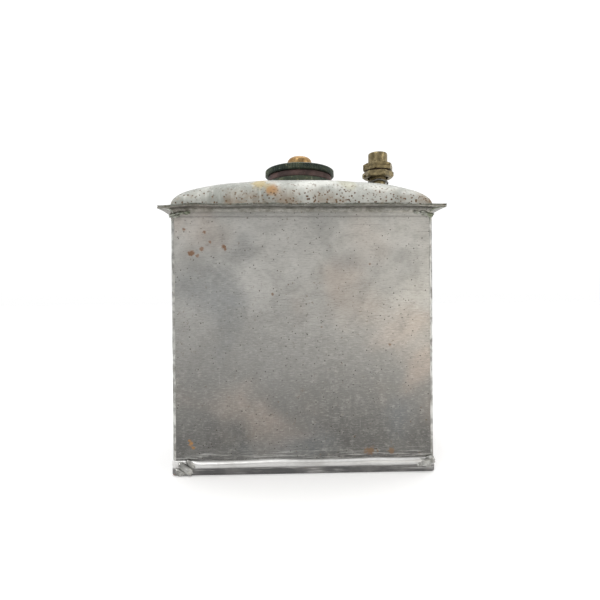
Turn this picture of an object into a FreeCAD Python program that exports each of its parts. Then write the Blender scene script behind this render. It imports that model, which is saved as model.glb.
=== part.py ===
import FreeCAD, Part
import math
import os

from FreeCAD import Vector

# A soldered tinplate fuel can of one US gallon, with a pressed lid, a screw filler cap with a
# vent knob, and a brass outlet fitting that draws from the bottom through a pickup tube.
# Millimetres. Origin at the middle of the base, +Z up, front panel toward -Y.

# Body and sheet
BODY_WIDTH = 171.45
BODY_DEPTH = 120.65
SHEET = 0.8
CORNER_RADIUS = 2.0
SIDE_TAB = 9.0

# Flange where the lid is soldered on
FLANGE_TOP = 176.0
FLANGE_WIDTH = 7.3
FLARE_RADIUS = 3.0
SEAM_SOLDER = 0.3
FLANGE_CORNER = 1.6

# Pressed dome of the lid
DOME_RISE = 25.2
DOME_PLAN_POWER = 2.08
DOME_EDGE_POWER = 3.56
DOME_EDGE_ANGLE = math.radians(83.0)
DOME_STEPS = 12

# Bottom pan
PAN_SKIRT_HEIGHT = 9.4
PAN_SKIRT = 0.8
PAN_EDGE_RADIUS = 0.7
BEAD_CREASE_HEIGHT = 4.2
BEAD_BULGE = 2.4
BEAD_BULGE_HEIGHT = 6.9
BEAD_LEFT_END = -73.0
BEAD_RIGHT_END = 80.0
CORNER_LUMP = (6.6, 3.2, 4.2)
CORNER_LUMP_TILT = 18.0
CORNER_LUMP_INSET = 5.4

# Filler collar and cap
COLLAR_RADIUS = 25.0
COLLAR_TOP = 205.2
COLLAR_FOOT = 198.0
SLEEVE_RADIUS = 22.0
SLEEVE_BOTTOM = 194.2
CAP_THREAD_PITCH = 3.0
CAP_THREAD_ROOT = 19.0
CAP_THREAD_DEPTH = 1.0
CAP_THREAD_TURNS = 2.2
CAP_THREAD_START = 198.5
CAP_THREAD_BASE_WIDTH = 2.0
CAP_THREAD_CREST_WIDTH = 0.8
THREAD_RADIAL_GAP = 0.3
THREAD_SIDE_GAP = 0.25
THREAD_SINK_SHARE = 1 / 3
GASKET_INNER_RADIUS = 20.4
GASKET_OUTER_RADIUS = 25.0
GASKET_TOP = 209.6
CAP_DISC_RADIUS = 27.0
CAP_DISC_TOP = 214.4
CAP_BOSS_RADIUS = 11.0
CAP_BOSS_TOP = 215.0
CAP_RIM_ROUND = 1.2
CAP_PLUG_BOTTOM = 197.2
CAP_PLUG_BORE = 15.5
CAP_PLUG_ROOF = 211.3
CAP_RIBS = 84
RIB_CUT_RADIUS = 0.55
RIB_CUT_OFFSET = 0.25

# Vent knob in the middle of the cap
VENT_KNOB_RADIUS = 9.5
VENT_KNOB_TOP = 225.9
VENT_KNOB_NECK = 7.4
VENT_KNOB_FLARE = 1.8
VENT_KNOB_CROWN = 4.2
VENT_KNOB_FLAT = 1.5
VENT_KNOB_SHOULDER = (7.2, 224.6)
VENT_WASHER_THICKNESS = 1.2
VENT_WASHER_RADIUS = 7.6
VENT_SHANK_RADIUS = 2.92
VENT_HOLE_RADIUS = 3.0
VENT_SHANK_END = 207.3
VENT_PEEN_RADIUS = 3.8
VENT_PEEN_HEIGHT = 1.4

# Outlet fitting
OUTLET_X = 62.0
BOSS_RADIUS = 6.2
BOSS_FOOT = 190.0
BOSS_SHOULDER = 213.6
BOSS_SPIGOT_RADIUS = 5.0
BOSS_BORE = 3.3
BOSS_BOTTOM = 189.0
STEM_TOP = 222.4
STEM_CONE = 1.4
UNION_THREAD_PITCH = 1.5
UNION_THREAD_ROOT = 5.0
UNION_THREAD_DEPTH = 0.75
UNION_THREAD_START = 216.4
UNION_THREAD_TURNS = 3.2
UNION_THREAD_BASE_WIDTH = 0.95
UNION_THREAD_CREST_WIDTH = 0.3
UNION_RADIAL_GAP = 0.25
UNION_SIDE_GAP = 0.2
LOCK_NUT_BOTTOM = 209.2
LOCK_NUT_TOP = 213.4
LOCK_NUT_RECESS_RADIUS = 8.2
LOCK_NUT_RECESS_DEPTH = 1.9
NUT_ACROSS_CORNERS = 24.6
NUT_CHAMFER = 1.5
NUT_SMALL_CHAMFER = 0.5
NUT_CHAMFER_SLOPE = 0.6
LOCK_NUT_TURN = 43.0
UNION_NUT_TURN = 10.0
UNION_WASHER_TOP = 214.7
UNION_WASHER_RADIUS = 8.6
UNION_HEX_TOP = 219.8
UNION_GROOVE_HEIGHT = 217.3
UNION_GROOVE = 0.35
UNION_HUB_RADIUS = 7.5
UNION_HUB_TOP = 228.7
UNION_HUB_ROUND = 1.3
UNION_CHAMBER_TOP = 225.3
TUBE_HOLE_RADIUS = 3.3
CLIP_WIRE = 0.8
CLIP_RING_RADIUS = 7.1
CLIP_HEIGHT = 206.2
CLIP_OPENING = 50.0
CLIP_TAIL = 3.4
PICKUP_RADIUS = 3.175
PICKUP_BORE = 2.4
PICKUP_BOTTOM = 9.0
PICKUP_TOP = 195.0
STRAINER_RADIUS = 7.0
STRAINER_BOTTOM = 4.0
STRAINER_TOP = 16.0
STRAINER_WALL = 0.5
FILLET_HOLLOW = 0.4
COLLAR_FILLET = (2.8, 198.6, 202.4)
OUTLET_FILLET = (5.0, 191.0, 202.0)

# Values worked out from the driving dimensions
HALF_WIDTH = BODY_WIDTH / 2
HALF_DEPTH = BODY_DEPTH / 2
LID_UNDERSIDE = FLANGE_TOP - SHEET
FLARE_TOP = LID_UNDERSIDE - SEAM_SOLDER
FLARE_START = FLARE_TOP - SHEET - FLARE_RADIUS
FACE_TOLERANCE = 1e-6
FAR = 400.0


def box(low_x, low_y, low_z, high_x, high_y, high_z):
    """A box from its lowest to its highest corner."""
    return Part.makeBox(high_x - low_x, high_y - low_y, high_z - low_z, Vector(low_x, low_y, low_z))


def cylinder(radius, low_z, high_z, centre_x=0.0):
    """An upright cylinder."""
    return Part.makeCylinder(radius, high_z - low_z, Vector(centre_x, 0, low_z))


def arc_edge(start, middle, end):
    """A circular arc through three points."""
    return Part.Arc(start, middle, end).toShape()


def outline(*steps):
    """A closed wire from corner points; a (middle, end) pair is an arc from the last point."""
    edges = []
    first = steps[0]
    last = first
    for step in steps[1:]:
        if isinstance(step, tuple):
            edges.append(arc_edge(last, step[0], step[1]))
            last = step[1]
        else:
            edges.append(Part.makeLine(last, step))
            last = step
    if last.distanceToPoint(first) > FACE_TOLERANCE:
        edges.append(Part.makeLine(last, first))
    return Part.Wire(edges)


def revolve_profile(*steps):
    """A full turn about Z of a closed outline in the XZ plane."""
    face = Part.Face(outline(*steps))
    return face.revolve(Vector(0, 0, 0), Vector(0, 0, 1), 360)


def prism(wire, direction):
    """A closed wire swept straight along a direction."""
    return Part.Face(wire).extrude(direction)


def hexagon(across_corners, low_z, high_z, centre_x, turn):
    """An upright hexagonal bar with one corner turned from +X by an angle in degrees."""
    points = []
    for corner in range(7):
        angle = math.radians(turn + 60 * corner)
        x = centre_x + across_corners / 2 * math.cos(angle)
        points.append(Vector(x, across_corners / 2 * math.sin(angle), low_z))
    return prism(Part.makePolygon(points), Vector(0, 0, high_z - low_z))


def thread_ridge(root, depth, pitch, start, turns, base_width, crest_width, centre_x=0.0):
    """A right-hand helical ridge with a trapezoid section, sunk a little into its core."""
    sink = depth * THREAD_SINK_SHARE
    flare = (base_width - crest_width) / 2 / depth
    inner_half = base_width / 2 + flare * sink
    crest_half = crest_width / 2
    section = Part.makePolygon([
        Vector(root - sink, 0, -inner_half),
        Vector(root + depth, 0, -crest_half),
        Vector(root + depth, 0, crest_half),
        Vector(root - sink, 0, inner_half),
        Vector(root - sink, 0, -inner_half),
    ])
    helix = Part.makeHelix(pitch, pitch * turns, root)
    ridge = Part.Wire(helix.Edges).makePipeShell([section], True, True)
    ridge.translate(Vector(centre_x, 0, start))
    return ridge


# ---- body panels -------------------------------------------------------------------------

def flare_bar(half_length):
    """The outward bend and flange of one wall, its wall face on Y = 0 and its outside toward +Y."""
    half_turn = math.sqrt(0.5)
    inside = FLARE_RADIUS
    outside = FLARE_RADIUS + SHEET
    low = FLARE_START
    centre_y = FLARE_RADIUS
    wire = outline(
        Vector(-half_length, 0, low),
        (
            Vector(-half_length, centre_y - inside * half_turn, low + inside * half_turn),
            Vector(-half_length, centre_y, low + inside),
        ),
        Vector(-half_length, FLANGE_WIDTH, low + inside),
        Vector(-half_length, FLANGE_WIDTH, low + outside),
        Vector(-half_length, centre_y, low + outside),
        (
            Vector(-half_length, centre_y - outside * half_turn, low + outside * half_turn),
            Vector(-half_length, -SHEET, low),
        ),
    )
    return prism(wire, Vector(2 * half_length, 0, 0))


def mitred_flare(half_wall):
    """A wall's flare with both ends cut at 45 degrees, so that neighbours meet in the corner."""
    reach = half_wall + FLANGE_WIDTH
    inner = half_wall - SHEET
    wedge = Part.makePolygon([
        Vector(-inner, -SHEET, FLARE_START),
        Vector(inner, -SHEET, FLARE_START),
        Vector(reach, FLANGE_WIDTH, FLARE_START),
        Vector(-reach, FLANGE_WIDTH, FLARE_START),
        Vector(-inner, -SHEET, FLARE_START),
    ])
    limit = prism(wedge, Vector(0, 0, FLANGE_TOP - FLARE_START))
    return flare_bar(reach).common(limit)


def broad_panel(turn):
    """The front or back panel, lapped over the side panels' tabs."""
    half_plate = HALF_WIDTH - CORNER_RADIUS
    plate = box(-half_plate, -SHEET, SHEET, half_plate, 0, FLARE_START)
    panel = plate.fuse(mitred_flare(HALF_WIDTH)).removeSplitter()
    panel.translate(Vector(0, HALF_DEPTH, 0))
    panel.rotate(Vector(0, 0, 0), Vector(0, 0, 1), turn)
    return panel


def side_panel(turn):
    """A side panel with both vertical edges bent round behind the front and back panels."""
    half_turn = math.sqrt(0.5)
    tab_face = HALF_DEPTH - SHEET
    centre_x = tab_face - CORNER_RADIUS
    centre_y = -CORNER_RADIUS
    inner_radius = CORNER_RADIUS - SHEET
    tab_end = -SIDE_TAB - CORNER_RADIUS
    diagonal = CORNER_RADIUS * half_turn
    inner_diagonal = inner_radius * half_turn
    wire = outline(
        Vector(-centre_x, 0, SHEET),
        Vector(centre_x, 0, SHEET),
        (
            Vector(centre_x + diagonal, centre_y + diagonal, SHEET),
            Vector(tab_face, centre_y, SHEET),
        ),
        Vector(tab_face, tab_end, SHEET),
        Vector(tab_face - SHEET, tab_end, SHEET),
        Vector(tab_face - SHEET, centre_y, SHEET),
        (
            Vector(centre_x + inner_diagonal, centre_y + inner_diagonal, SHEET),
            Vector(centre_x, -SHEET, SHEET),
        ),
        Vector(-centre_x, -SHEET, SHEET),
        (
            Vector(-centre_x - inner_diagonal, centre_y + inner_diagonal, SHEET),
            Vector(SHEET - tab_face, centre_y, SHEET),
        ),
        Vector(SHEET - tab_face, tab_end, SHEET),
        Vector(-tab_face, tab_end, SHEET),
        Vector(-tab_face, centre_y, SHEET),
        (
            Vector(-centre_x - diagonal, centre_y + diagonal, SHEET),
            Vector(-centre_x, 0, SHEET),
        ),
    )
    channel = prism(wire, Vector(0, 0, FLARE_START - SHEET))
    panel = channel.fuse(mitred_flare(HALF_DEPTH)).removeSplitter()
    panel.translate(Vector(0, HALF_WIDTH, 0))
    panel.rotate(Vector(0, 0, 0), Vector(0, 0, 1), turn)
    return panel


def corner_seam(side_x, side_y):
    """The solder that fills the lap between a side panel's bend and the broad panel's edge."""
    half_turn = math.sqrt(0.5)
    diagonal = CORNER_RADIUS * half_turn
    edge_x = HALF_WIDTH - CORNER_RADIUS
    outer_y = HALF_DEPTH - CORNER_RADIUS
    inner_y = outer_y - SHEET

    def at(x, y):
        return Vector(side_x * x, side_y * y, SHEET)

    wire = outline(
        at(HALF_WIDTH, outer_y),
        (at(edge_x + diagonal, outer_y + diagonal), at(edge_x, HALF_DEPTH)),
        at(edge_x, HALF_DEPTH - SHEET),
        (at(edge_x + diagonal, inner_y + diagonal), at(HALF_WIDTH, inner_y)),
    )
    return prism(wire, Vector(0, 0, FLARE_START - SHEET))


# ---- bottom pan --------------------------------------------------------------------------

def rounded_block(half_x, half_y, radius, low_z, high_z):
    """A block with its four upright edges rounded."""
    block = box(-half_x, -half_y, low_z, half_x, half_y, high_z)
    upright = [edge for edge in block.Edges if edge.BoundBox.ZLength > FACE_TOLERANCE]
    return block.makeFillet(radius, upright)


def pan_bead(in_front):
    """The rolled edge along the top of the pan's front or back skirt."""
    wire = outline(
        Vector(BEAD_LEFT_END, PAN_SKIRT, BEAD_CREASE_HEIGHT),
        (
            Vector(BEAD_LEFT_END, BEAD_BULGE, BEAD_BULGE_HEIGHT),
            Vector(BEAD_LEFT_END, 0, PAN_SKIRT_HEIGHT),
        ),
        Vector(BEAD_LEFT_END, 0, BEAD_CREASE_HEIGHT),
    )
    bead = prism(wire, Vector(BEAD_RIGHT_END - BEAD_LEFT_END, 0, 0))
    bead.translate(Vector(0, HALF_DEPTH, 0))
    if in_front:
        return bead.mirror(Vector(0, 0, 0), Vector(0, 1, 0))
    return bead


def bottom_pan():
    """The pan that closes the bottom: a flat plate with a skirt round the outside of the walls."""
    outer_x = HALF_WIDTH + PAN_SKIRT
    outer_y = HALF_DEPTH + PAN_SKIRT
    outer = rounded_block(outer_x, outer_y, CORNER_RADIUS + PAN_SKIRT, 0, PAN_SKIRT_HEIGHT)
    foot = [edge for edge in outer.Edges if edge.BoundBox.ZMax < FACE_TOLERANCE]
    outer = outer.makeFillet(PAN_EDGE_RADIUS, foot)
    inner = rounded_block(HALF_WIDTH, HALF_DEPTH, CORNER_RADIUS, SHEET, PAN_SKIRT_HEIGHT)
    pan = outer.cut(inner)
    for in_front in (False, True):
        pan = pan.fuse(pan_bead(in_front))
    return pan.removeSplitter()


def corner_lump(side_x, side_y):
    """The heavy solder patch over the pan's folded corner."""
    long_half, thick_half, tall_half = CORNER_LUMP
    lump = Part.makeSphere(1.0)
    stretch = FreeCAD.Matrix()
    stretch.scale(long_half, thick_half, tall_half)
    lump = lump.transformGeometry(stretch)
    lump.rotate(Vector(0, 0, 0), Vector(0, 1, 0), side_x * CORNER_LUMP_TILT)
    centre_x = HALF_WIDTH - CORNER_LUMP_INSET
    lump.translate(Vector(side_x * centre_x, side_y * HALF_DEPTH, PAN_SKIRT_HEIGHT / 2))
    skirt = rounded_block(HALF_WIDTH + PAN_SKIRT, HALF_DEPTH + PAN_SKIRT,
                          CORNER_RADIUS + PAN_SKIRT, -SHEET, 2 * PAN_SKIRT_HEIGHT)
    return lump.cut(skirt).cut(pan_bead(side_y < 0))


# ---- lid ---------------------------------------------------------------------------------

def dome_solid(half_x, half_y, base_z):
    """The space under the crowned dome: steep walls over a rectangle and a gently crowned top."""
    edge = 1 - math.cos(DOME_EDGE_ANGLE) ** DOME_EDGE_POWER
    angles = []
    for step in range(-DOME_STEPS, DOME_STEPS + 1):
        angles.append(DOME_EDGE_ANGLE * step / DOME_STEPS)

    def across(angle, half):
        share = (1 - math.cos(angle) ** DOME_EDGE_POWER) / edge
        return math.copysign(half * share ** (1 / DOME_PLAN_POWER), angle)

    grid = []
    for turn_x in angles:
        row = []
        for turn_y in angles:
            height = base_z + DOME_RISE * math.cos(turn_x) * math.cos(turn_y)
            row.append(Vector(across(turn_x, half_x), across(turn_y, half_y), height))
        grid.append(row)
    surface = Part.BSplineSurface()
    surface.interpolate(grid)
    column = surface.toShape().extrude(Vector(0, 0, -2 * DOME_RISE))
    return column.common(box(-FAR, -FAR, base_z, FAR, FAR, base_z + FAR))


def outer_dome():
    """The outside of the lid's dome."""
    return dome_solid(HALF_WIDTH, HALF_DEPTH, FLANGE_TOP)


def lid(dome):
    """The pressed lid: a flat flange round a dome, with holes for the collar and the outlet."""
    reach_x = HALF_WIDTH + FLANGE_WIDTH
    reach_y = HALF_DEPTH + FLANGE_WIDTH
    flange = rounded_block(reach_x, reach_y, FLANGE_CORNER, LID_UNDERSIDE, FLANGE_TOP)
    hollow = dome_solid(HALF_WIDTH - SHEET, HALF_DEPTH - SHEET, LID_UNDERSIDE)
    shell = flange.fuse(dome).cut(hollow)
    shell = shell.cut(cylinder(SLEEVE_RADIUS, SLEEVE_BOTTOM, COLLAR_TOP))
    shell = shell.cut(cylinder(BOSS_SPIGOT_RADIUS, BOSS_BOTTOM, BOSS_SHOULDER, OUTLET_X))
    return shell.removeSplitter()


def lid_seam_solder():
    """The film of solder between the lid's flange and the body's flange."""
    reach_x = HALF_WIDTH + FLANGE_WIDTH
    reach_y = HALF_DEPTH + FLANGE_WIDTH
    plate = rounded_block(reach_x, reach_y, FLANGE_CORNER, FLARE_TOP, LID_UNDERSIDE)
    inside_x = HALF_WIDTH + FLARE_RADIUS
    inside_y = HALF_DEPTH + FLARE_RADIUS
    return plate.cut(box(-inside_x, -inside_y, FLARE_TOP, inside_x, inside_y, LID_UNDERSIDE))


def solder_fillet(radius, width, low_z, high_z, centre_x, dome):
    """A ring of solder in the corner between an upright fitting and the dome."""
    ring = revolve_profile(
        Vector(radius, 0, low_z),
        Vector(radius + width, 0, low_z),
        (
            Vector(radius + width * FILLET_HOLLOW, 0, low_z + (high_z - low_z) * FILLET_HOLLOW),
            Vector(radius, 0, high_z),
        ),
    )
    ring.translate(Vector(centre_x, 0, 0))
    return ring.cut(dome)


# ---- filler ------------------------------------------------------------------------------

def cap_groove_cutter():
    """The female thread of the filler collar, with its bore."""
    low = SLEEVE_BOTTOM - CAP_THREAD_PITCH
    below = math.ceil((CAP_THREAD_START - low) / CAP_THREAD_PITCH)
    start = CAP_THREAD_START - below * CAP_THREAD_PITCH
    turns = below + math.ceil((COLLAR_TOP - CAP_THREAD_START) / CAP_THREAD_PITCH) + 1
    root = CAP_THREAD_ROOT + THREAD_RADIAL_GAP
    widen = 2 * THREAD_SIDE_GAP
    groove = thread_ridge(root, CAP_THREAD_DEPTH, CAP_THREAD_PITCH, start, turns,
                          CAP_THREAD_BASE_WIDTH + widen, CAP_THREAD_CREST_WIDTH + widen)
    bore = cylinder(root, start, COLLAR_TOP + CAP_THREAD_PITCH)
    return bore.fuse(groove)


def filler_collar(dome):
    """The threaded collar, its foot shaped to the dome and its sleeve passing through the lid."""
    head = cylinder(COLLAR_RADIUS, COLLAR_FOOT, COLLAR_TOP).cut(dome)
    sleeve = cylinder(SLEEVE_RADIUS, SLEEVE_BOTTOM, COLLAR_TOP)
    return head.fuse(sleeve).cut(cap_groove_cutter()).removeSplitter()


def cap_gasket():
    """The thick flat ring that seals the cap on the collar."""
    ring = cylinder(GASKET_OUTER_RADIUS, COLLAR_TOP, GASKET_TOP)
    return ring.cut(cylinder(GASKET_INNER_RADIUS, COLLAR_TOP, GASKET_TOP))


def filler_cap():
    """The screw cap: a ribbed disc over a hollow threaded plug, bored for the vent screw."""
    half_turn = math.sqrt(0.5)
    round_in = CAP_RIM_ROUND * (1 - half_turn)
    rim = CAP_DISC_RADIUS
    reach = rim + RIB_CUT_OFFSET
    disc = revolve_profile(
        Vector(0, 0, GASKET_TOP),
        Vector(rim - CAP_RIM_ROUND, 0, GASKET_TOP),
        (
            Vector(rim - round_in, 0, GASKET_TOP + round_in),
            Vector(rim, 0, GASKET_TOP + CAP_RIM_ROUND),
        ),
        Vector(rim, 0, CAP_DISC_TOP - CAP_RIM_ROUND),
        (
            Vector(rim - round_in, 0, CAP_DISC_TOP - round_in),
            Vector(rim - CAP_RIM_ROUND, 0, CAP_DISC_TOP),
        ),
        Vector(CAP_BOSS_RADIUS, 0, CAP_BOSS_TOP),
        Vector(0, 0, CAP_BOSS_TOP),
    )
    ribs = []
    for rib in range(CAP_RIBS):
        angle = 2 * math.pi * rib / CAP_RIBS
        place = Vector(reach * math.cos(angle), reach * math.sin(angle), GASKET_TOP)
        ribs.append(Part.makeCylinder(RIB_CUT_RADIUS, CAP_DISC_TOP - GASKET_TOP, place))
    disc = disc.cut(ribs)
    hollow = cylinder(CAP_PLUG_BORE, CAP_PLUG_BOTTOM, CAP_PLUG_ROOF)
    plug = cylinder(CAP_THREAD_ROOT, CAP_PLUG_BOTTOM, GASKET_TOP)
    ridge = thread_ridge(CAP_THREAD_ROOT, CAP_THREAD_DEPTH, CAP_THREAD_PITCH, CAP_THREAD_START,
                         CAP_THREAD_TURNS, CAP_THREAD_BASE_WIDTH, CAP_THREAD_CREST_WIDTH)
    plug = plug.fuse(ridge).cut(hollow)
    cap = disc.cut(hollow).fuse(plug)
    return cap.cut(cylinder(VENT_HOLE_RADIUS, CAP_PLUG_ROOF, CAP_BOSS_TOP))


def vent_washer():
    """The fibre washer under the vent knob."""
    top = CAP_BOSS_TOP + VENT_WASHER_THICKNESS
    ring = cylinder(VENT_WASHER_RADIUS, CAP_BOSS_TOP, top)
    return ring.cut(cylinder(VENT_HOLE_RADIUS + SEAM_SOLDER, CAP_BOSS_TOP, top))


def vent_knob():
    """The domed brass knob, its shank, and the peened end that keeps it in the cap."""
    low = CAP_BOSS_TOP + VENT_WASHER_THICKNESS
    shoulder = VENT_KNOB_TOP - VENT_KNOB_CROWN
    knob = revolve_profile(
        Vector(0, 0, low),
        Vector(VENT_KNOB_NECK, 0, low),
        Vector(VENT_KNOB_RADIUS, 0, low + VENT_KNOB_FLARE),
        Vector(VENT_KNOB_RADIUS, 0, shoulder),
        (
            Vector(VENT_KNOB_SHOULDER[0], 0, VENT_KNOB_SHOULDER[1]),
            Vector(VENT_KNOB_FLAT, 0, VENT_KNOB_TOP),
        ),
        Vector(0, 0, VENT_KNOB_TOP),
    )
    shank = cylinder(VENT_SHANK_RADIUS, VENT_SHANK_END, low)
    peen = cylinder(VENT_PEEN_RADIUS, VENT_SHANK_END, VENT_SHANK_END + VENT_PEEN_HEIGHT)
    return knob.fuse(shank).fuse(peen).removeSplitter()


# ---- outlet ------------------------------------------------------------------------------

def outlet_boss(dome):
    """The brass boss soldered on the dome, with its spigot below and its threaded stem above."""
    boss = cylinder(BOSS_RADIUS, BOSS_FOOT, BOSS_SHOULDER, OUTLET_X).cut(dome)
    spigot = cylinder(BOSS_SPIGOT_RADIUS, BOSS_BOTTOM, BOSS_SHOULDER, OUTLET_X)
    stem = cylinder(UNION_THREAD_ROOT, BOSS_SHOULDER, STEM_TOP - STEM_CONE, OUTLET_X)
    nose = Part.makeCone(UNION_THREAD_ROOT, UNION_THREAD_ROOT - STEM_CONE, STEM_CONE,
                         Vector(OUTLET_X, 0, STEM_TOP - STEM_CONE))
    ridge = thread_ridge(UNION_THREAD_ROOT, UNION_THREAD_DEPTH, UNION_THREAD_PITCH,
                         UNION_THREAD_START, UNION_THREAD_TURNS, UNION_THREAD_BASE_WIDTH,
                         UNION_THREAD_CREST_WIDTH, OUTLET_X)
    whole = boss.fuse(spigot).fuse(stem).fuse(nose).fuse(ridge)
    bore = cylinder(BOSS_BORE, BOSS_BOTTOM, STEM_TOP, OUTLET_X)
    return whole.cut(bore).removeSplitter()


def chamfered_hex(low_z, high_z, chamfer_top, chamfer_bottom, turn):
    """A hexagonal nut blank on the outlet's axis, with turned chamfers."""
    blank = hexagon(NUT_ACROSS_CORNERS, low_z, high_z, OUTLET_X, turn)
    radius = NUT_ACROSS_CORNERS / 2
    turned = revolve_profile(
        Vector(0, 0, low_z),
        Vector(radius - chamfer_bottom, 0, low_z),
        Vector(radius, 0, low_z + chamfer_bottom * NUT_CHAMFER_SLOPE),
        Vector(radius, 0, high_z - chamfer_top * NUT_CHAMFER_SLOPE),
        Vector(radius - chamfer_top, 0, high_z),
        Vector(0, 0, high_z),
    )
    turned.translate(Vector(OUTLET_X, 0, 0))
    return blank.common(turned)


def lock_nut():
    """The lower nut, recessed underneath, locked against the boss."""
    nut = chamfered_hex(LOCK_NUT_BOTTOM, LOCK_NUT_TOP, NUT_SMALL_CHAMFER, NUT_CHAMFER, LOCK_NUT_TURN)
    nut = nut.cut(cylinder(BOSS_RADIUS, LOCK_NUT_BOTTOM, LOCK_NUT_TOP, OUTLET_X))
    recess_top = LOCK_NUT_BOTTOM + LOCK_NUT_RECESS_DEPTH
    return nut.cut(cylinder(LOCK_NUT_RECESS_RADIUS, LOCK_NUT_BOTTOM, recess_top, OUTLET_X))


def union_washer():
    """The washer between the lock nut and the union nut."""
    ring = cylinder(UNION_WASHER_RADIUS, BOSS_SHOULDER, UNION_WASHER_TOP, OUTLET_X)
    bore = UNION_THREAD_ROOT + UNION_THREAD_DEPTH + UNION_RADIAL_GAP
    return ring.cut(cylinder(bore, BOSS_SHOULDER, UNION_WASHER_TOP, OUTLET_X))


def union_nut():
    """The union nut: a hexagon with a turned hub, threaded inside and bored for the fuel tube."""
    hexagonal = chamfered_hex(UNION_WASHER_TOP, UNION_HEX_TOP, NUT_CHAMFER, NUT_SMALL_CHAMFER,
                              UNION_NUT_TURN)
    hub = cylinder(UNION_HUB_RADIUS, UNION_WASHER_TOP, UNION_HUB_TOP, OUTLET_X)
    top_edge = [edge for edge in hub.Edges if abs(edge.CenterOfMass.z - UNION_HUB_TOP) < FACE_TOLERANCE]
    hub = hub.makeFillet(UNION_HUB_ROUND, top_edge)
    nut = hexagonal.fuse(hub)
    rim = cylinder(NUT_ACROSS_CORNERS, UNION_GROOVE_HEIGHT, UNION_GROOVE_HEIGHT + UNION_GROOVE,
                   OUTLET_X)
    core = cylinder(NUT_ACROSS_CORNERS / 2 * math.cos(math.pi / 6) - UNION_GROOVE,
                    UNION_GROOVE_HEIGHT, UNION_GROOVE_HEIGHT + UNION_GROOVE, OUTLET_X)
    nut = nut.cut(rim.cut(core))
    root = UNION_THREAD_ROOT + UNION_RADIAL_GAP
    widen = 2 * UNION_SIDE_GAP
    below = math.ceil((UNION_THREAD_START - UNION_WASHER_TOP) / UNION_THREAD_PITCH) + 1
    above = math.ceil((UNION_CHAMBER_TOP - UNION_THREAD_START) / UNION_THREAD_PITCH)
    start = UNION_THREAD_START - below * UNION_THREAD_PITCH
    groove = thread_ridge(root, UNION_THREAD_DEPTH, UNION_THREAD_PITCH, start, below + above - 1,
                          UNION_THREAD_BASE_WIDTH + widen, UNION_THREAD_CREST_WIDTH + widen,
                          OUTLET_X)
    nut = nut.cut(cylinder(root, UNION_WASHER_TOP, UNION_CHAMBER_TOP, OUTLET_X))
    nut = nut.cut(groove)
    return nut.cut(cylinder(TUBE_HOLE_RADIUS, UNION_CHAMBER_TOP, UNION_HUB_TOP, OUTLET_X))


def retaining_clip():
    """The open spring-wire ring under the lock nut, with one tail turned down."""
    opening = math.radians(CLIP_OPENING)
    centre = Vector(OUTLET_X, 0, CLIP_HEIGHT)

    def on_ring(angle):
        offset = Vector(math.cos(angle), math.sin(angle), 0)
        return centre + offset * CLIP_RING_RADIUS

    start = on_ring(0)
    middle = on_ring(-(math.pi - opening / 2))
    end = on_ring(-(2 * math.pi - opening))
    ring = Part.makeCircle(CLIP_WIRE, start, Vector(0, 1, 0))
    path = Part.Wire([arc_edge(start, middle, end)])
    wire_ring = path.makePipeShell([Part.Wire(ring)], True, True)
    tail = Part.makeCylinder(CLIP_WIRE, CLIP_TAIL, start, Vector(0, 0, -1))
    knee = Part.makeSphere(CLIP_WIRE, start)
    return wire_ring.fuse(knee).fuse(tail).removeSplitter()


def pickup_tube():
    """The tube that draws fuel from near the bottom."""
    tube = cylinder(PICKUP_RADIUS, PICKUP_BOTTOM, PICKUP_TOP, OUTLET_X)
    return tube.cut(cylinder(PICKUP_BORE, PICKUP_BOTTOM, PICKUP_TOP, OUTLET_X))


def strainer():
    """The gauze cup over the pickup tube's lower end."""
    cup = cylinder(STRAINER_RADIUS, STRAINER_BOTTOM, STRAINER_TOP, OUTLET_X)
    hollow = cylinder(STRAINER_RADIUS - STRAINER_WALL, STRAINER_BOTTOM + STRAINER_WALL,
                      STRAINER_TOP - STRAINER_WALL, OUTLET_X)
    return cup.cut(hollow).cut(cylinder(PICKUP_RADIUS, PICKUP_BOTTOM, STRAINER_TOP, OUTLET_X))


def build():
    """Every sub-part by node name."""
    dome = outer_dome()
    nodes = {
        "front_panel": broad_panel(180),
        "back_panel": broad_panel(0),
        "left_panel": side_panel(90),
        "right_panel": side_panel(-90),
        "bottom_pan": bottom_pan(),
        "lid": lid(dome),
        "lid_seam_solder": lid_seam_solder(),
        "filler_collar": filler_collar(dome),
        "collar_solder": solder_fillet(COLLAR_RADIUS, *COLLAR_FILLET, 0.0, dome),
        "cap_gasket": cap_gasket(),
        "filler_cap": filler_cap(),
        "vent_washer": vent_washer(),
        "vent_knob": vent_knob(),
        "outlet_boss": outlet_boss(dome),
        "outlet_solder": solder_fillet(BOSS_RADIUS, *OUTLET_FILLET, OUTLET_X, dome),
        "lock_nut": lock_nut(),
        "union_washer": union_washer(),
        "union_nut": union_nut(),
        "retaining_clip": retaining_clip(),
        "pickup_tube": pickup_tube(),
        "strainer": strainer(),
    }
    for side_x, word_x in ((-1, "left"), (1, "right")):
        for side_y, word_y in ((-1, "front"), (1, "back")):
            corner = word_y + "_" + word_x
            nodes["corner_seam_" + corner] = corner_seam(side_x, side_y)
            nodes["corner_solder_" + corner] = corner_lump(side_x, side_y)
    return nodes


os.makedirs("parts", exist_ok=True)
for name, shape in build().items():
    solid_count = len(shape.Solids)
    print(name, "valid", shape.isValid(), "solids", solid_count, "volume", round(shape.Volume, 2))
    shape.exportStep(os.path.join("parts", name + ".step"))
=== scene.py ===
import math

import bmesh
import bpy
import numpy as np
from mathutils import Matrix, Vector


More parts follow.
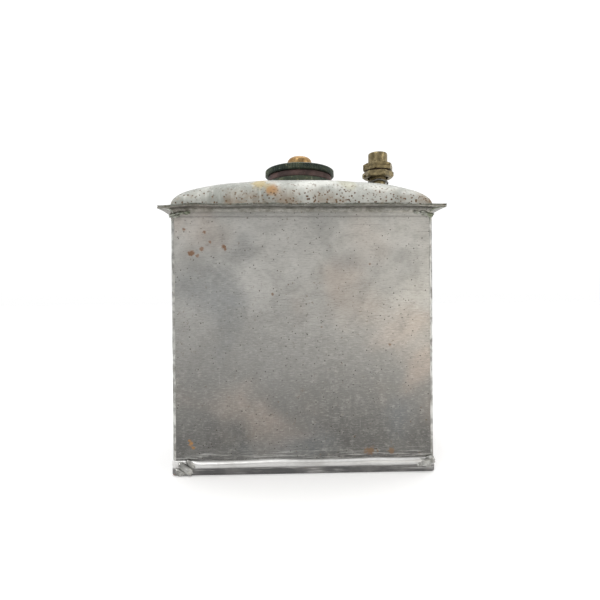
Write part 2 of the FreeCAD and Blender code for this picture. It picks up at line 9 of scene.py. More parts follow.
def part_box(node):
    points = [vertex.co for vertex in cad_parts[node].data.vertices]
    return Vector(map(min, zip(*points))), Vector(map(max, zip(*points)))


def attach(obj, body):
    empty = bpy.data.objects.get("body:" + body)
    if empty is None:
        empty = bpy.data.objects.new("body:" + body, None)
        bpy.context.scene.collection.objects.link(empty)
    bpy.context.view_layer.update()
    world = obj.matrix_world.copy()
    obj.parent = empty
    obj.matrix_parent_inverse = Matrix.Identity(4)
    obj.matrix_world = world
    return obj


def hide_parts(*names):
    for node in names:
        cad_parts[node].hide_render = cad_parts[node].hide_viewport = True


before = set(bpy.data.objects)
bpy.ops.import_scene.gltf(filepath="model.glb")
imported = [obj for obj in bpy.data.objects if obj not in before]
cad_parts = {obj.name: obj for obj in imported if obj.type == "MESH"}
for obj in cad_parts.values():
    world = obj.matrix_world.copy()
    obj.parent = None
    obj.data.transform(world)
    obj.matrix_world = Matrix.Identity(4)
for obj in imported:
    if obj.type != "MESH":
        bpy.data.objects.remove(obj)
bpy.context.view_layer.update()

MM = 0.001

# Sizes that the frame gives, in metres
seam_low, seam_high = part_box("corner_seam_front_left")
lid_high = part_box("lid")[1]
boss_low, boss_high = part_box("outlet_boss")

HALF_W = -seam_low.x
HALF_D = -seam_low.y
FLARE_START = seam_high.z
REACH_X = lid_high.x
REACH_Y = lid_high.y
OUTLET_X = (boss_low.x + boss_high.x) / 2
SKIRT_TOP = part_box("bottom_pan")[1].z

# Sizes shared with the CAD model
SHEET = 0.8 * MM
CORNER = 2.0 * MM
FLARE = 3.0 * MM
FLANGE = REACH_X - HALF_W
FLANGE_TOP = FLARE_START + FLARE + 2 * SHEET + 0.3 * MM
DOME_RISE = 25.2 * MM
DOME_PLAN_POWER = 2.08
DOME_EDGE_POWER = 3.56
DOME_EDGE_ANGLE = math.radians(83.0)
SLEEVE_R = 22.0 * MM
BOSS_SPIGOT_R = 5.0 * MM
BEAD_LEFT = -73.0 * MM
BEAD_RIGHT = 80.0 * MM
CAP_PITCH = 3.0 * MM
CAP_THREAD_START = 198.5 * MM
CAP_THREAD_DEPTH = 1.0 * MM
UNION_PITCH = 1.5 * MM
UNION_THREAD_START = 216.4 * MM
UNION_THREAD_DEPTH = 0.75 * MM
NUT_CORNER_R = 12.3 * MM
LOCK_NUT_TURN = 43
UNION_NUT_TURN = 10
CLIP_R = 7.12 * MM
CLIP_WIRE_R = 0.8 * MM

# Choices of the looks alone
MERGE_DISTANCE = 1e-7
HOLE_CLEARANCE = 0.02 * MM
LOWEST_SOLDER = 0.1 * MM
WALL_WAVE = 0.38 * MM
BEAD_WIDTH = 1.5 * MM
BEAD_HEIGHT = 0.64 * MM
SOLDER_DEPTH = 0.7 * MM
CAP_RIBS = 84
RIB_DEPTH = 0.42 * MM
GAUZE_WIRES = 60
CORNERS = [(side_x, side_y, word_y + "_" + word_x) for side_x, word_x in ((-1, "left"), (1, "right"))
           for side_y, word_y in ((-1, "front"), (1, "back"))]


# ---- fields and meshes -------------------------------------------------------------------

def ripple_field(seed, shortest, longest, count=7):
    """A smooth random field of two coordinates in metres, between about -1 and 1."""
    rng = np.random.default_rng(seed)
    waves = []
    for _ in range(count):
        length = rng.uniform(shortest, longest)
        turn = rng.uniform(0, math.pi)
        waves.append((math.cos(turn) / length, math.sin(turn) / length, rng.uniform(0, 2 * math.pi)))

    def field(a, b):
        total = 0.0
        for along_a, along_b, phase in waves:
            total = total + np.sin(2 * math.pi * (a * along_a + b * along_b) + phase)
        return total / math.sqrt(count)

    return field


def bump_at(a, b, centre_a, centre_b, width_a, width_b):
    """A round hump of height 1 at one place."""
    return np.exp(-((a - centre_a) / width_a) ** 2 - ((b - centre_b) / width_b) ** 2)


def grid_faces(rows, columns, first=0, loop_rows=False, loop_columns=False):
    """Quads between the points of a grid stored row by row."""
    faces = []
    for i in range(rows if loop_rows else rows - 1):
        low = first + i * columns
        high = first + ((i + 1) % rows) * columns
        for j in range(columns if loop_columns else columns - 1):
            k = (j + 1) % columns
            faces.append((low + j, low + k, high + k, high + j))
    return faces


def spread(values, count):
    """A column of values repeated across a grid."""
    return np.repeat(np.asarray(values)[:, None], count, axis=1)


def add_piece(node, suffix, parts, material, sharp, body="tank"):
    """One object from (vertices, faces) parts; it rides on a body and stands for a CAD node."""
    name = node + "_" + suffix
    vertices = []
    faces = []
    for points, part_faces in parts:
        first = len(vertices)
        vertices.extend(map(tuple, np.asarray(points).reshape(-1, 3)))
        faces.extend(tuple(first + i for i in face) for face in part_faces)
    mesh = bpy.data.meshes.new(name)
    mesh.from_pydata(vertices, [], faces)
    work = bmesh.new()
    work.from_mesh(mesh)
    bmesh.ops.remove_doubles(work, verts=work.verts, dist=MERGE_DISTANCE)
    bmesh.ops.dissolve_degenerate(work, edges=work.edges, dist=MERGE_DISTANCE)
    bmesh.ops.recalc_face_normals(work, faces=work.faces)
    work.to_mesh(mesh)
    work.free()
    piece = bpy.data.objects.new(name, mesh)
    bpy.context.scene.collection.objects.link(piece)
    piece.data.materials.append(material)
    shade(piece, sharp)
    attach(piece, body)
    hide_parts(node)
    return piece


def shade(piece, sharp):
    """Smooth shading, broken at edges sharper than an angle in degrees."""
    piece.data.shade_smooth()
    piece.data.set_sharp_from_angle(angle=math.radians(sharp))


def thick_sheet(outer, thickness, outward):
    """A closed plate from a grid of points on its outer face."""
    rows, columns = outer.shape[:2]
    along = np.gradient(outer, axis=1)
    up = np.gradient(outer, axis=0)
    normal = np.cross(along, up)
    normal /= np.maximum(np.linalg.norm(normal, axis=2, keepdims=True), 1e-12)
    middle = normal[rows // 2, columns // 2]
    if np.dot(middle, outward) < 0:
        normal = -normal
    inner = outer - normal * thickness
    points = np.concatenate([outer.reshape(-1, 3), inner.reshape(-1, 3)])
    faces = grid_faces(rows, columns) + grid_faces(rows, columns, rows * columns)
    back = rows * columns
    rim = list(range(columns))
    rim += [i * columns + columns - 1 for i in range(1, rows)]
    rim += [(rows - 1) * columns + j for j in range(columns - 2, -1, -1)]
    rim += [i * columns for i in range(rows - 2, 0, -1)]
    for k, here in enumerate(rim):
        there = rim[(k + 1) % len(rim)]
        faces.append((here, there, back + there, back + here))
    return points, faces


def cut_hole(piece, radius, centre_x, low, high):
    """Cuts an upright round hole right through a piece."""
    bpy.ops.mesh.primitive_cylinder_add(vertices=96, radius=radius, depth=high - low,
                                        location=(centre_x, 0, (low + high) / 2))
    cutter = bpy.context.object
    cut = piece.modifiers.new("hole", "BOOLEAN")
    cut.operation = "DIFFERENCE"
    cut.solver = "EXACT"
    cut.object = cutter
    shape = bpy.data.meshes.new_from_object(piece.evaluated_get(bpy.context.evaluated_depsgraph_get()))
    piece.modifiers.clear()
    piece.data = shape
    bpy.data.objects.remove(cutter)


# ---- turned parts ------------------------------------------------------------------------

def rounded_profile(corners, steps=5):
    """A closed outline of (radius, height, tag) points from (radius, height, round, tag) corners.
    A tag names the stretch that runs on from its corner."""
    points = []
    count = len(corners)
    for index, (radius, height, rounding, tag) in enumerate(corners):
        here = Vector((radius, height))
        before = Vector(corners[index - 1][:2])
        after = Vector(corners[(index + 1) % count][:2])
        old_tag = corners[index - 1][3]
        if rounding <= 0:
            points.append((radius, height, tag))
            continue
        to_before = (before - here).normalized()
        to_after = (after - here).normalized()
        half = to_before.angle(to_after) / 2
        reach = rounding / math.tan(half)
        reach = min(reach, 0.49 * (before - here).length, 0.49 * (after - here).length)
        start = here + to_before * reach
        end = here + to_after * reach
        for step in range(steps + 1):
            share = step / steps
            point = start.lerp(here, share).lerp(here.lerp(end, share), share)
            points.append((point.x, point.y, tag if step == steps else old_tag))
    return points


def refine(points, tag, spacing):
    """Adds points along the stretches that carry a tag."""
    fine = []
    for index, (radius, height, name) in enumerate(points):
        fine.append((radius, height, name))
        if name != tag:
            continue
        after = points[(index + 1) % len(points)]
        length = math.hypot(after[0] - radius, after[1] - height)
        parts = max(1, round(length / spacing))
        for part in range(1, parts):
            share = part / parts
            fine.append((radius + (after[0] - radius) * share, height + (after[1] - height) * share, name))
    return fine


def turned(points, columns, change=None, centre_x=0.0):
    """A closed ring of revolution; change(tags, radius, height, angle) reshapes it."""
    radius, height, tags = (spread([point[k] for point in points], columns) for k in range(3))
    angle = np.linspace(0, 2 * math.pi, columns, endpoint=False)[None, :] * np.ones_like(radius)
    if change:
        radius, height = change(tags, radius, height, angle)
    grid = np.stack([centre_x + radius * np.cos(angle), radius * np.sin(angle), height], axis=2)
    return grid, grid_faces(len(points), columns, 0, True, True)


def thread_height(height, angle, pitch, start, turns, base, crest):
    """How far up its flank a right-hand thread is, from 0 in the root to 1 on the crest."""
    phase = (height - start) / pitch - angle / (2 * math.pi)
    off = np.abs(phase - np.round(phase)) * pitch
    ridge = np.clip((base / 2 - off) / ((base - crest) / 2), 0, 1)
    if turns is None:
        return ridge
    run = pitch * 0.25
    fade = np.clip((height - start) / run, 0, 1) * np.clip((start + pitch * turns - height) / run, 0, 1)
    return ridge * fade


def hex_radius(angle, corner_radius, turn):
    """The radius of a hexagon in a direction."""
    sixth = math.pi / 3
    local = np.mod(angle - turn, sixth) - sixth / 2
    return corner_radius * math.cos(sixth / 2) / np.cos(local)


def blob(centre, radii, tilt, seed, rough=0.12):
    """A closed uneven lump, tilted about Y by an angle in degrees."""
    rows, columns = 22, 34
    around = np.linspace(0, 2 * math.pi, columns, endpoint=False)
    round_it, up = np.meshgrid(around, np.linspace(0, math.pi, rows))
    ball = np.stack([np.sin(up) * np.cos(round_it), np.sin(up) * np.sin(round_it), np.cos(up)], axis=2)
    one = ripple_field(seed, 0.7, 1.6)
    two = ripple_field(seed + 1, 0.5, 1.1)
    swell = 1 + rough * (one(ball[..., 0], ball[..., 2]) + 0.6 * two(ball[..., 1], ball[..., 2]))
    points = ball * swell[..., None] * np.array(radii)
    turn = math.radians(tilt)
    x = points[..., 0] * math.cos(turn) - points[..., 2] * math.sin(turn)
    z = points[..., 0] * math.sin(turn) + points[..., 2] * math.cos(turn)
    points = np.stack([x, points[..., 1], z], axis=2) + np.array(centre)
    points[..., 2] = np.maximum(points[..., 2], LOWEST_SOLDER)
    return points, grid_faces(rows, columns, 0, False, True)


def wire(path, radius, sides=14):
    """A closed round wire along a path."""
    path = np.array(path)
    along = np.gradient(path, axis=0)
    along /= np.linalg.norm(along, axis=1, keepdims=True)
    across = np.cross(along, (0.13, 0.27, 0.95))
    across /= np.linalg.norm(across, axis=1, keepdims=True)
    over = np.cross(along, across)
    turn = np.linspace(0, 2 * math.pi, sides, endpoint=False)
    shrink = np.ones(len(path))
    shrink[0] = shrink[-1] = 0.0
    shrink[1] = shrink[-2] = 0.8
    ring = (np.cos(turn)[None, :, None] * across[:, None, :] + np.sin(turn)[None, :, None] * over[:, None, :])
    points = path[:, None, :] + ring * radius * shrink[:, None, None]
    return points, grid_faces(len(path), sides, 0, False, True)


# ---- finishes ----------------------------------------------------------------------------

def feed(tree, socket, value):
    """Links a socket to another one, or sets its value."""
    if isinstance(value, bpy.types.NodeSocket):
        tree.links.new(value, socket)
    else:
        socket.default_value = value


def add_node(tree, kind, inputs, **settings):
    """A shader node with its settings, and then its inputs."""
    node = tree.nodes.new("ShaderNode" + kind)
    for key, value in settings.items():
        setattr(node, key, value)
    for key, value in inputs.items():
        feed(tree, node.inputs[key], value)
    return node


class Finish:
    """A procedural material, built up from noise in the object's own metres."""

    def __init__(self, name, metallic, roughness):
        self.material = bpy.data.materials.new(name)
        self.material.use_nodes = True
        self.tree = self.material.node_tree
        self.tree.nodes.clear()
        self.shader = self.node("BsdfPrincipled", {"Metallic": metallic, "Roughness": roughness})
        self.node("OutputMaterial", {0: self.shader.outputs[0]})
        self.place = self.node("TexCoord", {}).outputs["Object"]
        self.x, _, self.z = self.node("SeparateXYZ", {0: self.place}).outputs[:3]

    def node(self, kind, inputs, **settings):
        return add_node(self.tree, kind, inputs, **settings)

    def noise(self, scale, detail=3.0, roughness=0.55, stretch=(1, 1, 1), twist=0.0, shift=(0, 0, 0)):
        """Clouds; a larger stretch makes them finer along that axis."""
        moved = self.node("VectorMath", {0: self.place, 1: stretch, 2: shift}, operation="MULTIPLY_ADD")
        return self.node("TexNoise", {"Vector": moved.outputs[0], "Scale": scale, "Detail": detail,
                                      "Roughness": roughness, "Distortion": twist}).outputs[0]

    def cells(self, scale):
        """The distance from the nearest of many scattered points."""
        return self.node("TexVoronoi", {"Vector": self.place, "Scale": scale}).outputs["Distance"]

    def band(self, value, low, high, start=0.0, end=1.0):
        """Runs smoothly from start to end as a value goes from low to high."""
        return self.node("MapRange", {"Value": value, "From Min": low, "From Max": high, "To Min": start,
                                      "To Max": end}, interpolation_type="SMOOTHSTEP").outputs[0]

    def calc(self, operation, *values):
        return self.node("Math", dict(enumerate(values)), operation=operation).outputs[0]

    def times(self, first, second):
        return self.calc("MULTIPLY", first, second)

    def mix(self, share, first, second):
        """Goes from the first colour to the second as the share goes from 0 to 1."""
        ends = [end if isinstance(end, bpy.types.NodeSocket) else (*end, 1.0) for end in (first, second)]
        return self.node("Mix", {0: share, 6: ends[0], 7: ends[1]}, data_type="RGBA").outputs[2]

    def start(self, share, first, second):
        """The colour underneath everything else."""
        self.colour = self.mix(share, first, second)

    def coat(self, mask, colour):
        """Lays a colour over what is there already."""
        self.colour = self.mix(mask, self.colour, colour)

    def spots(self, places, edge):
        """A mask of uneven patches at (across, up, radius, strength) places, in millimetres."""
        total = 0.0
        for across, up, radius, strength in places:
            off_x = self.calc("SUBTRACT", self.x, across * MM)
            off_z = self.calc("SUBTRACT", self.z, up * MM)
            square = self.calc("MULTIPLY_ADD", off_z, off_z, self.times(off_x, off_x))
            away = self.times(self.calc("SQRT", square), 1 / (radius * MM))
            mask = self.band(self.calc("ADD", away, edge), 0.35, 1.25, strength, 0.0)
            total = self.calc("MAXIMUM", total, mask)
        return total

    def paint(self, roughness=None, bump=None, depth=0.0002, strength=0.6):
        """Gives the shader its colour, roughness and relief, and returns the material."""
        feed(self.tree, self.shader.inputs["Base Color"], self.colour)
        if roughness is not None:
            feed(self.tree, self.shader.inputs["Roughness"], roughness)
        if bump is not None:
            press = self.node("Bump", {"Strength": strength, "Distance": depth, "Height": bump})
            feed(self.tree, self.shader.inputs["Normal"], press.outputs[0])
        return self.material


def tinplate(name, level, front):
    """Old tinplate: cloudy, with painted shade that darkens it toward the bottom and under the flange,
    scratched both ways, pitted, with rust specks.
    """
    def tone(red, green, blue):
        return level * red, level * green, level * blue

    f = Finish(name, 0.82, 0.42)
    clouds = f.noise(16, 4, 0.6, twist=0.6)
    wide = f.noise(7, 2, 0.5, shift=(3, 1, 5))
    fine = f.noise(260, 5, 0.7)
    mid = f.noise(60, 5, 0.65, twist=0.8, shift=(2, 5, 9))
    upright = f.noise(90, 3, 0.7, stretch=(14, 14, 0.6))
    level_lines = f.noise(90, 3, 0.7, stretch=(0.6, 0.6, 14), shift=(1, 2, 3))
    # Painted shade: the walls run from dark at the bottom to light at the top, a painted reflection of darker
    # surroundings low down.
    f.start(f.band(f.z, 0.0, 0.172), tone(0.20, 0.197, 0.188), tone(1.0, 0.985, 0.94))
    warm = f.band(f.noise(15, 2, 0.5, twist=0.4, shift=(6, 2, 3)), 0.50, 0.68, 0.0, 0.5)
    f.coat(warm, tone(0.80, 0.66, 0.56))
    cool = f.band(f.noise(13, 2, 0.5, twist=0.4, shift=(1, 7, 4)), 0.50, 0.68, 0.0, 0.55)
    f.coat(cool, tone(0.36, 0.39, 0.41))
    if front:
        faint = f.times(f.band(f.z, 0.1676, 0.1682), f.band(f.z, 0.1686, 0.1692, 1.0, 0.0))
        f.coat(f.times(faint, 0.4), (0.16, 0.15, 0.14))
        scuff = f.times(f.band(f.z, 0.0105, 0.0185, 1.0, 0.0), f.band(level_lines, 0.5, 0.62))
        f.coat(f.times(scuff, 0.6), (0.56, 0.56, 0.54))
    mottled = f.times(f.band(mid, 0.40, 0.66), f.band(f.z, 0.02, 0.17, 0.35, 0.30))
    f.coat(mottled, tone(0.40, 0.395, 0.365))
    haze = f.times(f.band(fine, 0.48, 0.72), f.band(clouds, 0.4, 0.6, 0.04, 0.16))
    f.coat(haze, tone(1.25, 1.22, 1.14))
    # Painted shade: dark brown on the outward bend and under the flange, where the flange's shade falls.
    painted_flange_shade = f.times(f.band(f.z, 0.1700, 0.1722), f.band(f.z, 0.1736, 0.1741, 1.0, 0.8))
    painted_flange_shade = f.times(painted_flange_shade, f.band(fine, 0.34, 0.6, 0.95, 0.6))
    f.coat(painted_flange_shade, (0.085, 0.08, 0.06))
    light = f.band(upright, 0.60, 0.78, 0.0, 0.16)
    f.coat(light, tone(1.35, 1.33, 1.27))
    dark = f.band(level_lines, 0.26, 0.44, 0.42, 0.0)
    f.coat(dark, tone(0.42, 0.41, 0.40))
    brushed = f.noise(300, 4, 0.8, stretch=(1.0, 1.0, 5.0), shift=(8, 1, 4))
    f.coat(f.band(brushed, 0.50, 0.64, 0.0, 0.28), tone(0.22, 0.215, 0.20))
    f.coat(f.band(brushed, 0.34, 0.48, 0.22, 0.0), tone(1.25, 1.22, 1.14))
    pits = f.times(f.band(f.cells(420), 0.12, 0.24, 1.0, 0.0), f.band(fine, 0.50, 0.56))
    f.coat(f.times(pits, 0.75), (0.07, 0.06, 0.05))
    specks = f.band(f.noise(230, 5, 0.8, shift=(5, 5, 2)), 0.625, 0.665)
    specks = f.times(specks, f.band(wide, 0.40, 0.55, 0.25, 1.0))
    f.coat(f.times(specks, 0.85), (0.14, 0.095, 0.06))
    rust = f.band(f.noise(55, 6, 0.75, shift=(7, 3, 1)), 0.68, 0.73)
    if front:
        edge = f.calc("MULTIPLY_ADD", fine, 4.0, -2.0)
        rust_spots = f.spots([(-72.7, 144.5, 2.1, 0.95), (-64.2, 158.3, 1.4, 0.85), (-51.8, 149.1, 1.8, 0.95),
                              (-50.6, 147.2, 1.2, 0.9), (-66.0, 147.2, 1.2, 0.8), (-60.5, 152.0, 1.0, 0.8),
                              (-68.8, 143.2, 1.2, 0.8), (-77.3, 160.3, 1.3, 0.8), (-20, 118, 0.9, 0.7),
                              (44, 137, 0.9, 0.7), (12, 96, 0.8, 0.7), (57, 84, 0.9, 0.7)], edge)
        rust = f.calc("MAXIMUM", rust, rust_spots)
        orange = f.spots([(-73.4, 20.7, 1.9, 0.95), (-72.6, 18.0, 1.3, 0.8), (-75.0, 22.6, 1.1, 0.7)], edge)
        f.coat(orange, (0.36, 0.18, 0.055))
        brown = f.spots([(44.5, 14.0, 2.6, 0.9), (40.6, 15.0, 2.0, 0.85), (48.0, 14.4, 1.6, 0.8),
                         (57.5, 14.1, 1.8, 0.8)], edge)
        f.coat(brown, (0.20, 0.13, 0.08))
    f.coat(rust, (0.22, 0.13, 0.08))
    gloss = f.band(clouds, 0.3, 0.7, 0.36, 0.5)
    gloss = f.calc("ADD", gloss, f.times(f.calc("MAXIMUM", rust, pits), 0.35))
    relief = f.calc("MULTIPLY_ADD", upright, 0.4, f.times(level_lines, 0.4))
    relief = f.calc("MULTIPLY_ADD", pits, -0.8, relief)
    relief = f.calc("MULTIPLY_ADD", rust, 0.5, relief)
    return f.paint(gloss, relief, 0.00012, 0.55)


def pan_tin(name):
    """The bottom pan: tinplate with a painted highlight along the top of the bead and painted shade in the
    crease and underneath.
    """
    f = Finish(name, 0.75, 0.4)
    clouds = f.noise(30, 4, 0.6)
    fine = f.noise(240, 5, 0.7)
    lines = f.noise(80, 3, 0.7, stretch=(0.5, 0.5, 12))
    # Painted shade: dark below the bead's crease and on the bottom plate underneath.
    f.start(f.band(f.z, 0.0036, 0.0058), (0.10, 0.10, 0.10), (0.66, 0.66, 0.65))
    # Painted highlight: lighter along the top of the bead and skirt.
    f.coat(f.band(f.z, 0.0070, 0.0094), (0.78, 0.78, 0.77))
    f.coat(f.band(clouds, 0.4, 0.66, 0.0, 0.45), (0.34, 0.33, 0.32))
    f.coat(f.band(lines, 0.55, 0.7, 0.0, 0.35), (0.88, 0.87, 0.85))
    rust = f.times(f.band(f.cells(120), 0.08, 0.2, 1.0, 0.0), f.band(fine, 0.5, 0.6))
    f.coat(rust, (0.26, 0.16, 0.09))
    gloss = f.band(fine, 0.3, 0.7, 0.3, 0.52)
    relief = f.calc("MULTIPLY_ADD", fine, 0.6, f.times(lines, 0.4))
    return f.paint(gloss, relief, 0.0002, 0.6)


def chalky_lid(name):
    """The lid: chalky oxidised tin, peppered with rust toward the flange, with two stains."""
    f = Finish(name, 0.55, 0.55)
    clouds = f.noise(24, 5, 0.62, twist=0.8)
    fine = f.noise(330, 4, 0.7)
    streaks = f.noise(60, 3, 0.6, stretch=(7, 7, 0.8))
    f.start(f.band(clouds, 0.34, 0.66), (0.30, 0.31, 0.285), (0.56, 0.565, 0.53))
    f.coat(f.band(streaks, 0.5, 0.7, 0.0, 0.4), (0.64, 0.64, 0.61))
    edge = f.calc("MULTIPLY_ADD", f.noise(70, 5, 0.7), 2.6, -1.3)
    f.coat(f.spots([(-28, 192, 5.5, 0.75), (-23, 189, 4, 0.6)], edge), (0.42, 0.33, 0.14))
    f.coat(f.spots([(-19.5, 186.5, 5.5, 0.85)], edge), (0.38, 0.21, 0.08))
    f.coat(f.spots([(30.5, 191.5, 6.5, 0.5)], edge), (0.30, 0.29, 0.18))
    near = f.band(f.z, 0.1765, 0.191, 1.0, 0.0)
    pepper = f.times(f.band(f.cells(480), 0.22, 0.40, 1.0, 0.0), f.band(fine, 0.42, 0.50))
    patch = f.calc("ADD", f.times(near, 1.1), f.band(clouds, 0.35, 0.6, 0.2, 0.7))
    pepper = f.times(pepper, patch)
    f.coat(pepper, (0.12, 0.075, 0.045))
    stain = f.times(f.band(f.noise(45, 5, 0.7, shift=(2, 8, 4)), 0.44, 0.62), near)
    f.coat(f.times(stain, 0.6), (0.25, 0.165, 0.095))
    # The flange's edge is darkened: partly grime, partly painted shade.
    rim = f.band(f.z, 0.1763, 0.1770, 1.0, 0.0)
    rim_grime_and_shade = f.times(rim, f.band(fine, 0.36, 0.6, 0.95, 0.45))
    f.coat(rim_grime_and_shade, (0.060, 0.068, 0.052))
    gloss = f.band(clouds, 0.3, 0.7, 0.62, 0.46)
    relief = f.calc("MULTIPLY_ADD", fine, 0.7, f.times(pepper, -0.8))
    return f.paint(gloss, relief, 0.00018, 0.6)


def solder_tin(name, greenish):
    """Lumpy soft solder, bright on top and dirty in its hollows."""
    f = Finish(name, 0.8, 0.38)
    lumps = f.noise(210, 3, 0.5, twist=0.5)
    dirt = f.noise(95, 4, 0.65, shift=(4, 2, 6))
    f.start(f.band(lumps, 0.36, 0.62), (0.26, 0.26, 0.245), (0.50, 0.50, 0.48))
    f.coat(f.band(dirt, 0.48, 0.66, 0.0, 0.55), (0.13, 0.12, 0.10))
    if greenish:
        high = f.times(f.band(f.z, 0.162, 0.169), f.band(dirt, 0.38, 0.55, 0.4, 0.9))
        f.coat(high, (0.15, 0.165, 0.115))
        film = f.times(f.band(f.z, 0.1738, 0.1745), f.band(lumps, 0.50, 0.62, 1.0, 0.4))
        f.coat(film, (0.075, 0.078, 0.055))
    gloss = f.band(dirt, 0.4, 0.7, 0.3, 0.6)
    return f.paint(gloss, lumps, 0.0005, 0.7)


def dark_bronze(name):
    """Brass under a dark green-black patina, worn to green-gold on the ribs."""
    f = Finish(name, 0.75, 0.45)
    clouds = f.noise(70, 4, 0.6)
    fine = f.noise(420, 4, 0.7)
    f.start(f.band(clouds, 0.35, 0.65), (0.022, 0.032, 0.026), (0.075, 0.09, 0.062))
    wear = f.times(f.band(fine, 0.56, 0.68), f.band(clouds, 0.42, 0.6, 0.3, 1.0))
    f.coat(f.times(wear, 0.7), (0.28, 0.28, 0.16))
    pale = f.times(f.band(f.cells(420), 0.1, 0.2, 1.0, 0.0), f.band(fine, 0.5, 0.58))
    f.coat(f.times(pale, 0.6), (0.24, 0.31, 0.28))
    gloss = f.band(clouds, 0.3, 0.7, 0.36, 0.6)
    return f.paint(gloss, fine, 0.00012, 0.6)


def brass(name, deep, pale, tarnish, share, gloss_low):
    """Turned brass with tarnish and fine turning marks."""
    f = Finish(name, 0.9, 0.35)
    clouds = f.noise(75, 4, 0.6)
    fine = f.noise(380, 4, 0.7)
    rings = f.noise(70, 2, 0.6, stretch=(1, 1, 22))
    f.start(f.band(clouds, 0.34, 0.66), deep, pale)
    both = f.calc("MULTIPLY_ADD", fine, 0.5, f.times(clouds, 0.5))
    f.coat(f.band(both, 0.48, 0.6, 0.0, share), tarnish)
    gloss = f.band(fine, 0.3, 0.7, gloss_low, gloss_low + 0.22)
    relief = f.calc("MULTIPLY_ADD", rings, 0.5, f.times(fine, 0.5))
    return f.paint(gloss, relief, 0.00009, 0.5)


def dull(name, deep, pale, gloss, metallic=0.0, grain=300, depth=0.00015):
    """A worn matt finish, such as rubber, fibre or blackened wire."""
    f = Finish(name, metallic, gloss)
    clouds = f.noise(80, 4, 0.65)
    fine = f.noise(grain, 4, 0.7)
    f.start(f.band(clouds, 0.36, 0.64), deep, pale)
    f.coat(f.band(fine, 0.6, 0.74, 0.0, 0.5), tuple(min(1.0, 1.8 * v) for v in pale))
    return f.paint(f.band(fine, 0.3, 0.7, gloss - 0.08, gloss + 0.1), fine, depth, 0.6)


FRONT = tinplate("tinplate_front_finish", 0.50, True)
TIN = tinplate("tinplate_finish", 0.54, False)
PAN = pan_tin("tinplate_bottom_finish")
LID = chalky_lid("lid_tin_finish")
SOLDER = solder_tin("solder_finish", True)
BRONZE = dark_bronze("dark_bronze_finish")
KNOB = brass("polished_brass_finish", (0.26, 0.15, 0.055), (0.50, 0.33, 0.15), (0.13, 0.08, 0.035), 0.6, 0.30)
AGED = brass("aged_brass_finish", (0.14, 0.11, 0.055), (0.34, 0.275, 0.15), (0.07, 0.06, 0.035), 0.65, 0.32)
RUBBER = dull("gasket_rubber_finish", (0.040, 0.022, 0.020), (0.10, 0.055, 0.048), 0.7)
FIBRE = dull("fibre_finish", (0.05, 0.035, 0.028), (0.13, 0.09, 0.065), 0.65)
WIRE = dull("dark_wire_finish", (0.06, 0.06, 0.055), (0.20, 0.19, 0.17), 0.42, 0.8, 500, 0.00008)
COPPER = brass("copper_finish", (0.40, 0.19, 0.11), (0.66, 0.38, 0.24), (0.20, 0.24, 0.18), 0.4, 0.34)
GAUZE = dull("gauze_finish", (0.20, 0.16, 0.09), (0.44, 0.37, 0.22), 0.45, 0.8, 900, 0.0004)


# ---- the can's walls ---------------------------------------------------------------------

def flange_sag(x, y):
    """How far the flange's edge wanders up or down at a place."""
    out = np.clip(np.maximum(np.abs(x) - HALF_W, np.abs(y) - HALF_D) / FLANGE, 0, 1)
    away = np.hypot(REACH_X - np.abs(x), REACH_Y - np.abs(y))
    corner = np.exp(-(away / (13 * MM)) ** 2)
    side = np.where(x < 0, 1.0, 0.25)
    return out * (-1.1 * MM * corner * side + 0.28 * MM * EDGE_WANDER(x, y))


def flange_reach(x, y):
    """How far the flange's edge wanders in or out, with clipped corners."""
    out = np.clip(np.maximum(np.abs(x) - HALF_W, np.abs(y) - HALF_D) / FLANGE, 0, 1)
    return 1 - out * (0.004 + 0.003 * EDGE_WANDER(y, x))


EDGE_WANDER = ripple_field(5, 26 * MM, 70 * MM)


def wall_grid(half_wall, half_plate, other_half, seed, spin):
    """The outside of one wall with its outward bend and flange, facing -Y before the spin."""
    heights = list(np.linspace(SHEET, FLARE_START, 74))
    bend = np.linspace(0, math.pi / 2, 11)[1:]
    rows = []
    for z in heights:
        ease = np.clip((z - (FLARE_START - 15 * MM)) / (15 * MM), 0, 1) ** 2
        rows.append((0.0, z, half_plate + (half_wall - half_plate) * ease))
    for angle in bend:
        out = FLARE * (1 - math.cos(angle))
        rows.append((out, FLARE_START + FLARE * math.sin(angle), half_wall + out))
    for out in np.linspace(FLARE, FLANGE, 6)[1:]:
        rows.append((out, FLARE_START + FLARE, half_wall + out))
    across = np.linspace(-1, 1, 101)
    out, z, half = (spread([row[k] for row in rows], len(across)) for k in range(3))
    x = half * across[None, :]
    field = ripple_field(seed, 55 * MM, 150 * MM)
    calm = np.clip((half_plate - np.abs(x)) / (14 * MM), 0, 1)
    calm = calm * np.clip((FLARE_START - z) / (22 * MM), 0, 1) * np.clip((z - SKIRT_TOP) / (12 * MM), 0, 1)
    push = WALL_WAVE * calm * field(x, z)
    push = push + 0.05 * MM * calm * ripple_field(seed + 9, 9 * MM, 24 * MM)(x, z)
    grid = np.stack([x, -(other_half + out) - push, z], axis=2)
    turned_grid = grid @ spin
    turned_grid[..., 2] += flange_sag(turned_grid[..., 0], turned_grid[..., 1])
    shrink = flange_reach(turned_grid[..., 0], turned_grid[..., 1])
    turned_grid[..., 0] *= shrink
    turned_grid[..., 1] *= shrink
    return turned_grid


